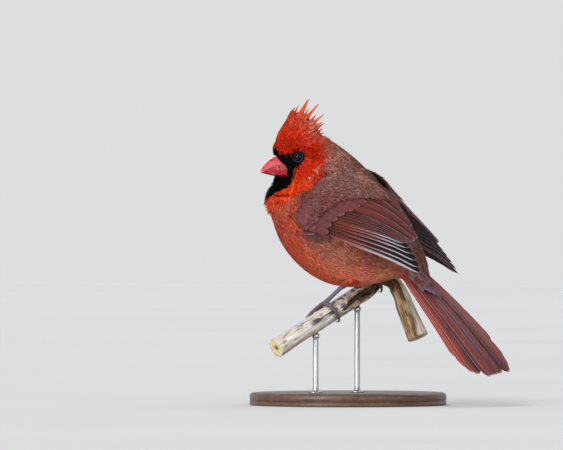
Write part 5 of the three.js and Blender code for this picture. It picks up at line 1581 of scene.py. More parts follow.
# ---------------------------------------------------------------- bill
def bill_half(upper, nk=72, na=41, nb=11):
    k = 5 * (1 - (1 - np.linspace(0, 1, nk)) ** 1.25)
    a = np.linspace(0, pi, na)
    kk, aa = np.meshgrid(k, a, indexing="ij")
    P = bill_point(kk, aa, upper)
    mid = (bill_point(k, 0 * k, upper) + bill_point(k, 0 * k + pi, upper)) / 2
    q = np.stack([P, np.roll(P, 1, 0)], 0)[0]
    du = np.gradient(q, axis=0)
    dv = np.gradient(q, axis=1)
    n = unit(np.cross(du, dv)) * (1 if upper else -1)
    out = np.where(dot(n, P - mid[:, None])[..., None] < 0, -1, 1)
    n = n * out
    rough = 0.10 * (noise(P * np.array([1, 0.35, 1]), 1.1, 3) - 0.5) + 0.05 * (noise(P, 0.5, 5) - 0.5)
    fade = smooth(4.9, 4.2, kk)
    rough = rough * fade
    y, z = P[..., 1], P[..., 2]
    if upper:
        for cy, cz, r, dep in ((-52.0, 154.4, 0.62, 0.55), (-50.9, 155.2, 0.35, 0.3)):
            rough = rough - dep * np.exp(-(((y - cy) / (r * 1.35)) ** 2 + ((z - cz) / r) ** 2))
    # the cutting edge rolls outwards a little
    rough = rough + 0.12 * np.exp(-((np.minimum(aa, pi - aa) - 0.12) / 0.1) ** 2) * fade
    # faint growth lines round the base
    rough = rough + 0.03 * np.sin(kk * 16) * smooth(2.6, 1.0, kk)
    P = P + n * rough[..., None]
    j = np.linspace(1, 0, nb + 2)[1:-1]
    flat = lerp(P[:, :1], P[:, -1:], j[None, :, None])
    flat[..., 2] += (0.5 if upper else -0.5) * np.sin(pi * j)[None] * smooth(5, 3.4, k)[:, None]
    R = np.concatenate([P, flat], 1)
    # colours
    K = {n_: lin(*v) for n_, v in dict(pink=(180, 58, 70), rose=(156, 20, 28), deep=(98, 9, 13), pale=(246, 210, 204), cream=(222, 160, 130), speck=(50, 18, 22), lilac=(206, 110, 140)).items()}
    y, z, f = R[..., 1], R[..., 2], np.broadcast_to(k[:, None], R.shape[:2])
    n1, n2, n3 = noise(R, 1.6, 21), noise(R, 0.7, 22), noise(R, 0.42, 23)
    if upper:
        c = mix(K["pink"], K["rose"], smooth(0.35, 0.75, n1) * 0.75)
        c = mix(c, K["rose"], 0.8 * smooth(-50.5, -45.5, y))
        c = mix(c, K["lilac"], 0.35 * smooth(0.55, 0.8, n2))
        # a pale streak along the ridge: painted highlight
        ridge = np.interp(y, CULMEN[::-1, 0], CULMEN[::-1, 1])
        c = mix(c, K["pale"], 0.85 * smooth(1.9, 0.5, ridge - z) * smooth(-46, -52, y))
        c = mix(c, K["cream"], 0.6 * smooth(1.0, 0.2, z - np.interp(y, TOMIUM[::-1, 0], TOMIUM[::-1, 1])) * smooth(0.35, 0.6, n1 + 0.2))
    else:
        c = mix(K["rose"] * 0.9, K["pink"] * 0.85, smooth(0.5, 0.8, n1) * 0.45)
        c = mix(c, K["lilac"], 0.4 * smooth(0.6, 0.8, n2))
        # darker along the lower edge: painted shade on the bill's underside
        c = mix(c, K["deep"], 0.7 * smooth(1.4, 0.3, z - np.interp(y, GONYS[::-1, 0], GONYS[::-1, 1])))
    c = mix(c, K["pale"], 0.6 * smooth(4.3, 4.9, f))
    tom = np.interp(y, TOMIUM[::-1, 0], TOMIUM[::-1, 1])
    c = mix(c, K["speck"], 0.85 * smooth(0.60, 0.74, n3) * smooth(1.6, 0.4, np.abs(z - tom)) * smooth(-54, -49, y))
    # the nostrils, sunk in above, painted dark: painted shade in the pits
    if upper:
        for cy, cz, r in ((-52.0, 154.4, 0.6), (-50.9, 155.2, 0.4)):
            c = mix(c, K["speck"], np.exp(-(((y - cy) / (r * 1.2)) ** 2 + ((z - cz) / (r * 0.8)) ** 2)))
    # the flat inner faces between the cutting edges at half brightness: painted shade inside the closed bill
    c[:, na:] = c[:, na:] * 0.5
    V = np.concatenate([turn_head(R).reshape(-1, 3), turn_head(R[0]).mean(0)[None], turn_head(R[-1]).mean(0)[None]])
    col = np.concatenate([c.reshape(-1, 3), c[0].mean(0)[None], c[-1].mean(0)[None]])
    return V, tube_faces(nk, na + nb), col


MAT_BILL = painted("bill_horn", rough=0.42, vary=0.1, fine=1800, bump=0.12, distance=0.00006, spec=0.14, rough_vary=0.1)
MAT_BILL.bsdf.inputs["Coat Weight"].default_value = 0.05
MAT_BILL.bsdf.inputs["Coat Roughness"].default_value = 0.3
for upper in (True, False):
    V, F, c = bill_half(upper)
    give(build("bill_horn_%s" % ("upper" if upper else "lower"), V, F, c), MAT_BILL, "bill_horn", "bill_upper" if upper else "bill_lower")

# the soft gape at the bill's corners
V, F, c = [], [], []
for side in (1, -1):
    k = np.linspace(0, 1, 14)
    y = lerp(-46.0, -40.6, k)
    z = np.interp(y, TOMIUM[::-1, 0], TOMIUM[::-1, 1]) - 0.15 * k
    x = side * (np.interp(y, [-46, -43.8, -40.6], [5.75, 6.15, 6.75]))
    pts = turn_head(np.stack([x, y, z], -1))
    r = 0.42 * np.sin(pi * (0.12 + 0.82 * k)) ** 0.7
    v = sweep(pts, np.stack([r, r * 0.8], -1), 10)
    F.append([f + sum(len(q) for q in V) for f in tube_faces(14, 10)])
    V.append(v)
    c.append(np.tile(lin(122, 84, 60), (len(v), 1)) * np.random.default_rng(5).uniform(0.7, 1.1, (len(v), 1)))
give(build("gape_skin", np.concatenate(V), [f for g in F for f in g], np.concatenate(c)), MAT_BILL, "bill_horn")

# ---------------------------------------------------------------- eyes and lids
MAT_EYE = Nodes("eye_cornea", Roughness=0.045, Specular_IOR_Level=0.15)
MAT_EYE.bsdf.inputs["Coat Weight"].default_value = 0.0
MAT_EYE.bsdf.inputs["Coat Roughness"].default_value = 0.03
_c = MAT_EYE.add("VertexColor", layer_name="Col").outputs[0]
_t = MAT_EYE.ramp(MAT_EYE.noise(2400, 3), (0.3, 0.75), (0.7, 1.0))
MAT_EYE.to("Base Color", MAT_EYE.mix(1.0, _c, _t, "MULTIPLY"))
MAT_LID = painted("lid_skin", rough=0.55, vary=0.2, fine=2600, bump=0.4, distance=0.0001, spec=0.15)

for name, side in (("left", 1), ("right", -1)):
    c0, ax = eye_centre(side), eye_axis(side)
    fwd = unit(np.cross(ax, np.array([0, 0, 1.0]))) * (1 if side < 0 else -1)
    up = unit(np.cross(fwd, ax)) * (1 if np.cross(fwd, ax)[2] > 0 else -1)
    nr, ns = 40, 48
    th = np.linspace(0.02, pi - 0.02, nr)
    ps = 2 * pi * np.arange(ns) / ns
    T, S = np.meshgrid(th, ps, indexing="ij")
    bulge = EYE_RADIUS - 0.12 + 0.10 * np.exp(-(T / 0.6) ** 2)
    D = ax * np.cos(T)[..., None] + (fwd * np.cos(S)[..., None] + up * np.sin(S)[..., None]) * np.sin(T)[..., None]
    V = c0 + D * bulge[..., None]
    V = np.concatenate([V.reshape(-1, 3), V[0].mean(0)[None], V[-1].mean(0)[None]])
    # a navy ring round the pupil: painted bluish reflection
    iris_reflection = smooth(0.62, 0.72, T) * smooth(1.12, 1.0, T)
    col = mix(lin(3, 4, 9), lin(16, 24, 56), 0.6 * iris_reflection * (0.6 + 0.4 * noise(np.stack([np.cos(S) * 6, np.sin(S) * 6, T * 2], -1), 1.0, 9)))
    col = mix(col, lin(20, 16, 18), smooth(1.12, 1.25, T))
    col = np.concatenate([col.reshape(-1, 3), col[0].mean(0)[None], col[-1].mean(0)[None]])
    give(build("eyeball_%s" % name, V, tube_faces(nr, ns), col), MAT_EYE, "eye", "eye_%s" % name)
    # lids: an inner rim and the soft ring round it
    Vs, Fs, Cs, base = [], [], [], 0
    for ring, (hx, hz, rr, out, tones) in enumerate(((1.06, 0.98, 0.30, 0.10, ((9, 8, 11), (70, 74, 88))), (1.28, 1.22, 0.52, -0.05, ((5, 4, 6), (8, 7, 8))))):
        n = 96
        s = 2 * pi * np.arange(n) / n
        tilt = radians(8)
        cx, cz = np.cos(s), np.sin(s)
        # almond opening, drawn out a little at front and back
        rad = np.hypot(hx * cx, hz * cz) * (1 + 0.06 * np.abs(cx) ** 6)
        dirs = fwd * (cx * cos(tilt) - cz * sin(tilt))[:, None] + up * (cx * sin(tilt) + cz * cos(tilt))[:, None]
        centre = c0 + (ax * np.cos(rad)[:, None] + dirs * np.sin(rad)[:, None]) * (EYE_RADIUS + out)
        outn = unit(centre - c0)
        m = 12
        q = 2 * pi * np.arange(m) / m
        wr = rr * (1 + 0.10 * np.sin(s * 31) + 0.06 * np.sin(s * 47 + 1))
        tang = unit(np.roll(centre, -1, 0) - np.roll(centre, 1, 0))
        inw = unit(np.cross(tang, outn))
        ringv = centre[:, None] + (outn[:, None] * np.sin(q)[None, :, None] * 0.8 + inw[:, None] * np.cos(q)[None, :, None]) * wr[:, None, None]
        i, j = np.meshgrid(np.arange(n), np.arange(m), indexing="ij")
        a, b = i * m + j, i * m + (j + 1) % m
        a2, b2 = ((i + 1) % n) * m + j, ((i + 1) % n) * m + (j + 1) % m
        Fs.append(np.stack([a, b, b2, a2], -1).reshape(-1, 4) + base)
        base += n * m
        Vs.append(ringv.reshape(-1, 3))
        lower = smooth(0.1, -0.5, cz)[:, None] * smooth(0.2, 0.9, np.sin(q))[None]
        Cs.append(mix(lin(*tones[0]), lin(*tones[1]), 0.8 * lower).reshape(-1, 3))
    give(build("lids_%s" % name, np.concatenate(Vs), Fs, np.concatenate(Cs)), MAT_LID, "eye")

# ---------------------------------------------------------------- legs, feet and claws
MAT_LEG = painted("leg_scutes", rough=0.5, vary=0.22, fine=1500, bump=0.35, distance=0.00012, spec=0.45)
MAT_CLAW = painted("claw_horn", rough=0.32, vary=0.15, fine=1800, bump=0.15, distance=0.00006, spec=0.5)


def scaly_tube(pts, radii, n, front, pitch, depth, tones, seed, pads=0.0, joints=()):
    """A closed tube with overlapping plates on its front and small scales behind; returns vertices, faces, colours."""
    pts = np.asarray(pts, float)
    L = np.concatenate([[0], np.cumsum(np.linalg.norm(np.diff(pts, axis=0), axis=1))])
    rows = int(L[-1] / 0.12) + 8
    s = np.linspace(0, L[-1], rows)
    P = np.stack([np.interp(s, L, pts[:, i]) for i in range(3)], -1)
    for _ in range(12):
        P[1:-1] = (P[:-2] + 2 * P[1:-1] + P[2:]) / 4
    R = np.stack([np.interp(s, L, radii[:, i]) for i in range(2)], -1)
    T = unit(np.gradient(P, axis=0))
    f = np.asarray(front, float)
    f = f if f.ndim == 2 else np.broadcast_to(f, P.shape)
    f = np.stack([np.interp(s, L, f[:, i]) for i in range(3)], -1) if len(f) == len(L) else f
    F_ = unit(f - dot(f, T)[:, None] * T)
    S_ = np.cross(T, F_)
    ang = 2 * pi * np.arange(n) / n
    cosa = np.cos(ang)[None]
    wob = noise(np.stack([s, 0 * s + seed, 0 * s], -1), 2.5, seed)[:, None]
    plate = np.mod(s[:, None] / pitch + 0.25 * wob, 1.0)
    saw = plate**0.6 * smooth(1.0, 0.86, plate)
    back = 0.5 * np.sin(2 * pi * (s[:, None] / (pitch * 0.62)) + 3 * np.sin(ang * 5)[None])
    onfront = smooth(-0.15, 0.35, cosa)
    d = depth * (saw * onfront + (0.35 * back + 0.2) * (1 - onfront))
    if pads:
        d = d + pads * (1 - onfront) * np.maximum(0, np.sin(2 * pi * s / (L[-1] / 2.6) + 0.6))[:, None] ** 0.7
    for j, amount in joints:
        d = d + amount * np.exp(-((s[:, None] - j * L[-1]) / 1.0) ** 2)
    e = np.clip(np.minimum(s, L[-1] - s) / 0.7, 0, 1)[:, None]
    cap = np.sqrt(1 - (1 - e) ** 2) * 0.98 + 0.02
    V = P[:, None] + F_[:, None] * ((R[:, :1] + d) * cap * cosa)[..., None] + S_[:, None] * ((R[:, 1:] + d) * cap * np.sin(ang)[None])[..., None]
    c = mix(lin(*tones[0]), lin(*tones[1]), np.clip(0.95 * smooth(0.78, 1.0, plate) * onfront + 0.5 * (back < -0.3) * (1 - onfront), 0, 1))
    c = mix(c, lin(*tones[2]), 0.5 * smooth(0.2, 0.6, plate) * smooth(0.75, 0.5, plate) * onfront)
    c = c * (0.8 + 0.4 * noise(V, 1.3, seed))[..., None]
    V2 = np.concatenate([V.reshape(-1, 3), V[0].mean(0)[None], V[-1].mean(0)[None]])
    return V2, tube_faces(rows, n), np.concatenate([c.reshape(-1, 3), c[0].mean(0)[None], c[-1].mean(0)[None]])


def toe_point(foot, toe, k):
    along, arc, r = toe
    s = FOOT_S[foot] + along * k
    return on_perch(s, np.radians(arc * k + (8 if arc > 0 else -8)), perch_radius(s) + 0.3 + r * 1.08 + 0.3 + 0.3 * (1 - k)) + PERCH_TOP * np.asarray(perch_lift(s))[..., None]


TONES = ((82, 68, 80), (32, 25, 32), (112, 98, 110))
for foot in ("left", "right"):
    parts, cl = [], []
    top, ankle = foot_top(foot), ANKLE[foot]
    k = np.linspace(0.0, 1.0, 24)
    shank = lerp(top, ankle, k[:, None]) - np.array([0, 0.6, 0]) * np.sin(pi * k)[:, None]
    w = np.interp(k, [0, 0.12, 0.3, 0.8, 1], [1.6, 1.45, 1.28, 1.35, 1.9])
    parts.append(scaly_tube(shank, np.stack([w * 1.05, w * 0.8], -1), 28, (-0.2, -1.0, 0.25), 1.75, 0.17, TONES, 3))
    for i, toe in enumerate(TOES[foot]):
        k = np.linspace(-0.10, 1, 30)
        P = toe_point(foot, toe, np.maximum(k, 0)) + (top - toe_point(foot, toe, np.array([0.0]))[0]) * (np.maximum(0, -k) / 0.12)[:, None]
        s = FOOT_S[foot] + toe[0] * np.maximum(k, 0)
        axis = on_perch(s, 0, 0) + PERCH_TOP * perch_lift(s)[:, None]
        r = toe[2] * (1.14 - 0.24 * np.maximum(0, k))
        parts.append(scaly_tube(P, np.stack([r, r], -1), 22, P - axis, 1.05, 0.10, TONES, 7 + i, pads=0.16, joints=((0.38, 0.12), (0.7, 0.12)) if toe[1] > 0 else ((0.55, 0.14),)))
        # claw
        a, b = toe_point(foot, toe, np.array([0.96, 1.0]))
        d = unit(b - a)
        s1 = FOOT_S[foot] + toe[0]
        inward = on_perch(s1, 0, 0) + PERCH_TOP * perch_lift(s1) - b
        inward = unit(inward - dot(inward, d) * d)
        hind = toe[1] < 0
        length, bend = (6.4, radians(95)) if hind else (4.6, radians(70))
        Rr = length / bend
        q = np.linspace(-0.12, 1, 34)
        start = b + d * 0.3 - inward * toe[2] * 0.25
        pts = start + d * (Rr * np.sin(bend * np.maximum(q, 0)) + Rr * bend * np.minimum(q, 0))[:, None] + inward * (Rr * (1 - np.cos(bend * np.maximum(q, 0))) * (0.95 if hind else 0.7))[:, None]
        ra, rb = np.interp(q, [-0.12, 0, 0.5, 0.9, 1], [0.6, 0.60, 0.44, 0.2, 0.05]), np.interp(q, [-0.12, 0, 0.5, 0.9, 1], [0.8, 0.82, 0.56, 0.22, 0.05])
        V = sweep(pts, np.stack([ra, rb], -1), 18, inward, lambda i_, an: 1 - 0.14 * np.exp(-((np.abs(np.cos(an)) - 0.9) / 0.12) ** 2))
        f = np.repeat(q, 18)
        c = mix(lin(52, 42, 50), lin(26, 20, 24), smooth(0.0, 0.8, f))
        c = np.concatenate([c, c[:1], c[-1:]]) * (0.75 + 0.5 * noise(V, 0.8, 4))[:, None]
        give(build("claw_horn_%s_%d" % (foot, i + 1), V, tube_faces(34, 18), c), MAT_CLAW, "claw_horn", "claw_%s_%d" % (foot, i + 1))
    # the ball of the foot
    n1, n2 = 24, 30
    T, S = np.meshgrid(np.linspace(0.05, pi - 0.05, n1), 2 * pi * np.arange(n2) / n2, indexing="ij")
    D = np.stack([np.sin(T) * np.cos(S), np.sin(T) * np.sin(S), np.cos(T)], -1)
    bumps = 0.12 * np.sin(S * 9 + 4 * np.cos(T * 5)) * np.sin(T)
    V = top + D * (np.array([1.55, 1.75, 1.6]) + 0) * (1 + 0.08 * bumps)[..., None]
    c = mix(lin(*TONES[0]), lin(*TONES[1]), smooth(0.0, -0.1, bumps))
    V = np.concatenate([V.reshape(-1, 3), V[0].mean(0)[None], V[-1].mean(0)[None]])
    parts.append((V, tube_faces(n1, n2), np.concatenate([c.reshape(-1, 3), c[0].mean(0)[None], c[-1].mean(0)[None]])))
    V, F, c, _u = merge([(v, f, cc, {}) for v, f, cc in parts])
    give(build("leg_%s" % foot, V, F, c), MAT_LEG, "leg_scales", "tarsus_%s" % foot, "foot_%s" % foot)

# ---------------------------------------------------------------- the stalk
def stalk_paint(s, th, R, hollow):
    K = {n: lin(*v) for n, v in dict(cream=(214, 202, 184), white=(226, 224, 222), blue=(176, 180, 198), tan=(186, 154, 112), dark=(62, 50, 52), brown=(116, 92, 72), deep=(48, 34, 28), straw=(206, 184, 146)).items()}
    q = np.stack([s / 9.0, th * R / 0.9, 0 * s], -1)
    n1, n2, n3 = noise(q, 1.0, 41), noise(q * np.array([2.2, 2.2, 1]), 1.0, 42), noise(np.stack([s / 2.0, th * R / 1.6, 0 * s], -1), 1.0, 43)
    t = np.degrees(np.mod(th + pi, 2 * pi) - pi)  # 0 on top, negative towards the back
    c = mix(K["cream"], K["white"], smooth(0.35, 0.7, n1))
    c = mix(c, K["tan"], 0.55 * smooth(0.55, 0.85, n2))
    # bluish on the top: painted highlight
    c = mix(c, K["blue"], 0.55 * smooth(34, 8, np.abs(t + 6)) * smooth(0.3, 0.6, n1))
    # tan towards the underside: painted shade
    c = mix(c, K["tan"], 0.6 * smooth(-100, -140, t) + 0.6 * smooth(110, 150, t))
    streak = smooth(0.60, 0.70, n2) * smooth(0.35, 0.6, n3)
    c = mix(c, K["dark"], 0.45 * streak)
    patch = smooth(-40, -34, s) * smooth(-15, -20, s) * smooth(-34, -44, t + 14 * (n1 - 0.5)) * smooth(-88, -72, t + 20 * (n1 - 0.5))
    c = mix(c, K["dark"], 0.95 * patch * smooth(0.30, 0.48, n1))
    # a dark line along the upper side of the lower-left stalk: painted shade
    line = np.exp(-((t + 30 + 4 * np.sin(s / 6)) / 4.5) ** 2) * smooth(-52, -46, s) * smooth(-30, -36, s)
    c = mix(c, K["dark"], 0.8 * line)
    inner = mix(K["brown"], K["straw"], 0.8 * smooth(0.5, 0.75, n1))
    inner = mix(inner, K["deep"], smooth(0.46, 0.62, n2))
    # towards the bend the whole stalk is browner, streaked and split
    old = smooth(-22, -8, s + 8 * (n1 - 0.5))
    c = mix(c, K["brown"], 0.45 * old * smooth(0.35, 0.6, n2))
    c = mix(c, K["deep"], 0.75 * old * smooth(0.56, 0.68, n3))
    return mix(c * 0.86, inner * 0.7, hollow)


ns, nt_ = 300, 150
s = np.concatenate([np.linspace(-66, 27, ns)])
th = 2 * pi * np.arange(nt_) / nt_
S, T = np.meshgrid(s, th, indexing="ij")
R = perch_radius(S)
C0, G = 6.4, np.interp(S, np.linspace(-14, 27, 6), [0.6, 3.2, 4.0, 4.2, 3.8, 3.0], left=0) * (S > -14.5)
delta = T - radians(262)
chordlen = np.where(np.cos(delta) > 0, G**2 - (C0 * np.sin(delta)) ** 2, -1)
hit = np.where(chordlen > 0, C0 * np.cos(delta) - np.sqrt(np.maximum(chordlen, 0)), 99)
fibre = noise(np.stack([S / 12, T * R / 0.8, 0 * S], -1), 1.0, 51) - 0.5
knob = noise(np.stack([S / 5, T * R / 3.0, 0 * S], -1), 1.0, 52) - 0.5
bark = 0.34 * fibre + 0.35 * knob + 0.12 * (noise(np.stack([S / 1.2, T * R / 0.5, 0 * S], -1), 1.0, 53) - 0.5)
hollow = smooth(0.0, 0.35, R - hit)
r = np.where(hit < R, np.maximum(hit, 0.8) + 0.5 * fibre * smooth(0, 0.8, R - hit), R + bark)
# lips of the split stand up a little
r = r + 0.35 * np.exp(-((np.sqrt(np.maximum(0, (C0 * np.sin(delta)) ** 2)) - G) / 0.35) ** 2) * (np.cos(delta) > 0.5) * (S > -13) * (hit > R - 0.2)
# torn upper end and cut lower end
end = smooth(22, 27, S)
S2 = S + end * 2.4 * (noise(np.stack([T * 3, 0 * S, 0 * S], -1), 1.0, 54) - 0.75) + smooth(-64.5, -66, S) * 0.5 * (noise(np.stack([np.cos(T) * 3, np.sin(T) * 3, 0 * S], -1), 1.0, 55) - 0.5)
V = on_perch(S2, T, r) + PERCH_TOP * perch_lift(S)[..., None]
c = stalk_paint(S, T, R, hollow)
# end faces as rings of their own, with the pith sunk in
def end_face(edge, centre, inward, tones, rings=9):
    rows, cols = [], []
    for i in range(1, rings + 1):
        f = i / rings
        p = lerp(edge, centre, f) + inward * (0.9 * smooth(0.55, 0.9, f) + 0.25 * (noise(edge * 1.0 + i * 3.1, 0.8, 60) - 0.5))[:, None]
        rows.append(p)
        ring = 0.5 + 0.5 * np.sin(f * 34)
        cols.append(mix(mix(lin(*tones[0]), lin(*tones[1]), 0.5 * ring), lin(*tones[2]), smooth(0.55, 0.85, f) + 0 * edge[:, 0]) * (0.85 + 0.3 * noise(edge + i, 0.9, 61))[:, None])
    return rows, cols


def with_ends(V, c, tones0, tones1):
    n = V.shape[1]
    c0, c1 = V[0].mean(0), V[-1].mean(0)
    d0, d1 = unit(V[3].mean(0) - c0), unit(V[-4].mean(0) - c1)
    r0, k0 = end_face(V[0], c0, d0, tones0)
    r1, k1 = end_face(V[-1], c1, d1, tones1)
    rows = np.concatenate([np.array(r0[::-1]), V, np.array(r1)])
    cols = np.concatenate([np.array(k0[::-1]), c, np.array(k1)])
    m = len(rows)
    out = np.concatenate([rows.reshape(-1, 3), rows[0].mean(0)[None], rows[-1].mean(0)[None]])
    cc = np.concatenate([cols.reshape(-1, 3), cols[0].mean(0)[None], cols[-1].mean(0)[None]])
    return out, tube_faces(m, n), cc


CUT = ((214, 196, 160), (186, 158, 116), (120, 92, 66))
TORN = ((150, 124, 92), (110, 86, 62), (70, 52, 40))
V, F, c = with_ends(V, c, CUT, TORN)
MAT_STALK = painted("dry_stalk", rough=0.82, vary=0.2, fine=700, bump=0.5, distance=0.0003, spec=0.2, stretch=(1, 1, 1))
give(build("stalk", V, F, c), MAT_STALK, "dry_stalk", "perch")

STUB = np.array([[-22.4, 12.4, 79.4], [-25.0, 18.6, 76.8], [-24.0, 25.0, 68.2], [-24.2, 29.8, 57.0], [-24.4, 37.0, 42.6]])
ns, nt_ = 190, 110
k = np.linspace(0, 4, ns)
P = cr(k, STUB)
Tn = unit(np.gradient(P, axis=0))
Rt = np.broadcast_to(RIGHT, P.shape)
A_ = unit(Rt - dot(Rt, Tn)[:, None] * Tn)
B_ = np.cross(Tn, A_)
th = 2 * pi * np.arange(nt_) / nt_
K_, T = np.meshgrid(k, th, indexing="ij")
rad = lerp(3.6, 6.25, K_ / 4)
slen = np.concatenate([[0], np.cumsum(np.linalg.norm(np.diff(P, axis=0), axis=1))])[:, None] + 0 * T
q = np.stack([slen / 9, T * 4.4, 0 * T], -1)
fibre, knob = noise(q * np.array([1, 1.3, 1]), 1.0, 71) - 0.5, noise(np.stack([slen / 6, T * 1.4, 0 * T], -1), 1.0, 72) - 0.5
crease = np.exp(-((slen - 6.5 - 1.5 * np.sin(T * 2)) / 1.3) ** 2) + 0.6 * np.exp(-((slen - 10 - np.sin(T * 3)) / 0.9) ** 2)
r = rad * (1 + 0.05 * np.cos(2 * T + 0.6)) + 0.6 * fibre + 0.7 * knob - 0.55 * crease
slit = np.exp(-((np.mod(T - 0.75 + 0.03 * slen - 0.6 + pi, 2 * pi) - pi) / 0.07) ** 2) * smooth(20, 26, slen) * smooth(42, 36, slen)
r = r - 1.3 * slit
jag = smooth(2.2, 0, slen) * 2.2 * (noise(np.stack([T * 2.5, 0 * T, 0 * T], -1), 1.0, 73) - 0.4)
V = P[:, None] - Tn[:, None] * jag[..., None] + A_[:, None] * (r * np.cos(T))[..., None] + B_[:, None] * (r * np.sin(T))[..., None]
fine = noise(q * np.array([1.5, 3.2, 1]), 1.0, 74)
n1, n2 = noise(q, 1.0, 75), noise(np.stack([slen / 3, T * 3, 0 * T], -1), 1.0, 76)
K = {n: lin(*v) for n, v in dict(brown=(122, 94, 66), straw=(168, 140, 102), deep=(44, 32, 26), pale=(206, 194, 178), green=(112, 98, 58), dark=(40, 30, 30)).items()}
right = smooth(0.1, 0.6, np.cos(T) + 0.5 * (n1 - 0.5) + 0.012 * (slen - 20))
c = mix(K["brown"], K["straw"], smooth(0.4, 0.7, n1))
c = mix(c, K["deep"], 0.85 * smooth(0.52, 0.64, fine) * smooth(0.25, 0.5, n2))
c = mix(c, K["deep"], 0.8 * np.exp(-((np.cos(T) - 0.12 + 0.25 * (n1 - 0.5)) / 0.13) ** 2) * smooth(0.3, 0.5, fine) * (np.sin(T) > -2))
c = mix(c, K["pale"], right * smooth(4, 10, slen))
c = mix(c, K["deep"], 0.5 * right * smooth(0.66, 0.8, fine))
c = mix(c, K["green"], smooth(8, 3, slen) * smooth(0.3, 0.6, n2))
# dark in the slit and the creases: painted shade in the grooves
c = mix(c, K["dark"], np.clip(0.9 * slit + 0.4 * crease, 0, 1))
V, F, c = with_ends(V, c, TORN, CUT)
give(build("stalk_bend", V, F, c), MAT_STALK, "dry_stalk", "perch_bend")


# ---------------------------------------------------------------- display stand
def lathe(profile, n=160, at=(0, 0, 0)):
    pr = np.asarray(profile, float)
    a = 2 * pi * np.arange(n) / n
    V = np.stack([pr[:, :1] * np.cos(a)[None], pr[:, :1] * np.sin(a)[None], pr[:, 1:] + 0 * a[None]], -1) + np.asarray(at, float)
    return np.concatenate([V.reshape(-1, 3), V[0].mean(0)[None], V[-1].mean(0)[None]]), tube_faces(len(pr), n)


arc = lambda cx, cz, r, a0, a1, n=8: [(cx + r * cos(radians(a)), cz + r * sin(radians(a))) for a in np.linspace(a0, a1, n)]
prof = [(0.5, 0.0), (30, 0.0)] + [(60.6, 0.0)] + arc(60.9, 1.1, 1.1, -90, 0, 7) + [(62.0, 2.6)] + arc(61.9, 3.0, 0.42, -90, -180, 5) + arc(61.9, 3.0, 0.42, 180, 90, 5)[1:] + [(62.0, 3.5), (62.0, 5.4)] + arc(59.5, 5.5, 2.5, 0, 90, 12)
prof += [(58.2, 8.0), (57.9, 7.72), (57.3, 7.72), (57.0, 8.0), (45, 8.0), (20, 8.0), (0.5, 8.0)]
V, F = lathe(prof, 200)
wood = Nodes("stand_walnut", Roughness=0.42, Specular_IOR_Level=0.4)
wood.bsdf.inputs["Coat Weight"].default_value = 0.2
wood.bsdf.inputs["Coat Roughness"].default_value = 0.35
grain = wood.noise(90, 6, (1.0, 9.0, 9.0), 0.62)
rings = wood.noise(22, 3, (0.35, 5.0, 5.0))
pores = wood.noise(420, 3, (0.5, 12, 12))
base_c = wood.ramp(rings, (0.30, tuple(lin(66, 44, 32))), (0.5, tuple(lin(96, 66, 46))), (0.7, tuple(lin(74, 50, 36))))
tone = wood.ramp(grain, (0.35, 0.62), (0.65, 1.0))
dots = wood.ramp(pores, (0.30, 0.55), (0.42, 1.0))
wood.to("Base Color", wood.mix(1.0, wood.mix(1.0, base_c, tone, "MULTIPLY"), dots, "MULTIPLY"))
wood.to("Roughness", wood.ramp(grain, (0.3, 0.52), (0.7, 0.34)))
wood.bump(pores, 0.25, 0.0002)
give(build("stand_disc", V, F), wood, "stand_wood", "stand_base")

steel = Nodes("stand_steel", Metallic=1.0, Roughness=0.3)
brush = steel.noise(700, 4, (1, 1, 14.0))
steel.to("Base Color", steel.ramp(brush, (0.3, tuple(lin(150, 150, 152))), (0.7, tuple(lin(196, 196, 198)))))
steel.to("Roughness", steel.ramp(brush, (0.3, 0.22), (0.7, 0.42)))
steel.bump(brush, 0.12, 0.00005)
for i, s in enumerate((-31.5, 5.0)):
    p = on_perch(s, 0, 0)
    zt = p[2] - 0.84
    under = p[2] - perch_radius(s) / sqrt(1 - PERCH_DIR[2] ** 2)
    prof = [(0.3, 4.0), (1.7, 4.0), (1.7, 8.02), (4.2, 8.02)] + arc(4.2, 8.42, 0.4, -90, 90, 7) + [(3.2, 8.9)] + [(2.0 + 1.2 * (1 - sin(radians(a))), 10.6 - 1.6 * cos(radians(a))) for a in np.linspace(0, 90, 8)] + [(1.75, 10.9)]
    prof += [(1.75, float(z)) for z in np.linspace(13, under - 3.6, 24)]
    prof += [(1.8, under - 3.4), (2.35, under - 3.0), (2.45, under - 2.7), (2.45, under - 1.2), (2.3, under - 0.9), (1.75, under - 0.8), (1.7, under + 1.0), (1.7, zt), (0.3, zt)]
    V, F = lathe(prof, 48, (p[0], p[1], 0))
    give(build("stand_pin_%d" % (i + 1), V, F), steel, "stand_rod", "stand_rod_%d" % (i + 1))

# ==== next section ====

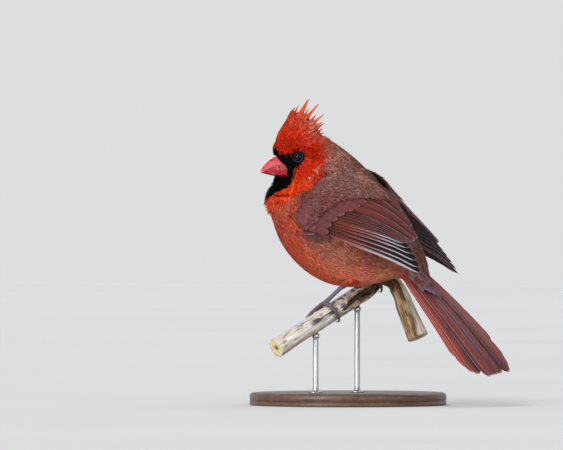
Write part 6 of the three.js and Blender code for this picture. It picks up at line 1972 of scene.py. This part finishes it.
# ---------------------------------------------------------------- floor and light
floor = build("floor", np.array([[-9000, -9000, 0], [9000, -9000, 0], [9000, 9000, 0], [-9000, 9000, 0]]) + np.array([0, 0, -0.05]), [np.array([[0, 1, 2, 3]])])
fm = Nodes("floor_paper", Roughness=0.9, Specular_IOR_Level=0.0)
fm.to("Base Color", fm.ramp(fm.noise(2.0, 5), (0.3, (0.60, 0.605, 0.61)), (0.7, (0.62, 0.625, 0.63))))
floor.data.materials.append(fm.mat)


def sun(name, place, power, angle, colour=(1, 1, 1)):
    d = bpy.data.lights.new(name, "SUN")
    d.energy, d.angle, d.color = power, radians(angle), colour
    o = bpy.data.objects.new(name, d)
    bpy.context.scene.collection.objects.link(o)
    o.rotation_mode = "QUATERNION"
    o.rotation_quaternion = (-Vector(place)).to_track_quat("-Z", "Y")
    # what a level floor gets from it, its disc partly below the horizon perhaps
    t = unit(np.array(place, float))
    e1 = unit(np.cross(t, [0.3, 0.2, 1.0]))
    e2 = np.cross(t, e1)
    g = (np.arange(60) + 0.5) / 30 - 1
    gx, gy = np.meshgrid(g, g)
    disc = gx**2 + gy**2 < 1
    k = np.tan(radians(angle) / 2)
    rays = unit(t + k * (gx[disc][:, None] * e1 + gy[disc][:, None] * e2))
    return float(np.maximum(0, rays[:, 2]).mean()) * power / pi


V3 = lambda right, toward, up: tuple((RIGHT * right - LOOK * toward + np.array([0, 0, up])).tolist())
lit = sun("key", V3(-0.75, 0.85, 1.15), 0.72, 28, (1.0, 0.985, 0.97))
lit += sun("catch", V3(-0.45, 1.0, 0.7), 0.55, 14, (0.94, 0.97, 1.0))
lit += sun("front", V3(-0.8, 1.0, 0.0), 4.2, 34, (1.0, 0.985, 0.965))
lit += sun("fill", V3(1.0, 1.3, 0.1), 1.25, 36, (0.97, 0.98, 1.0))
lit += sun("back", V3(0.6, -0.9, 1.2), 0.35, 30, (0.96, 0.98, 1.0))
# the sky is as bright as the floor looks, so that the two meet unseen
sky = 0.615 * lit / (1 - 0.615)
world = bpy.data.worlds.new("studio")
world.use_nodes = True
world.node_tree.nodes["Background"].inputs[0].default_value = (0.985, 0.99, 1.0, 1)
world.node_tree.nodes["Background"].inputs[1].default_value = sky
bpy.context.scene.world = world
print("sky", sky)

bpy.context.scene.view_settings.view_transform = "Standard"
bpy.context.scene.view_settings.look = "None"

print("coat triangles", coat_triangles, sum(coat_triangles.values()))
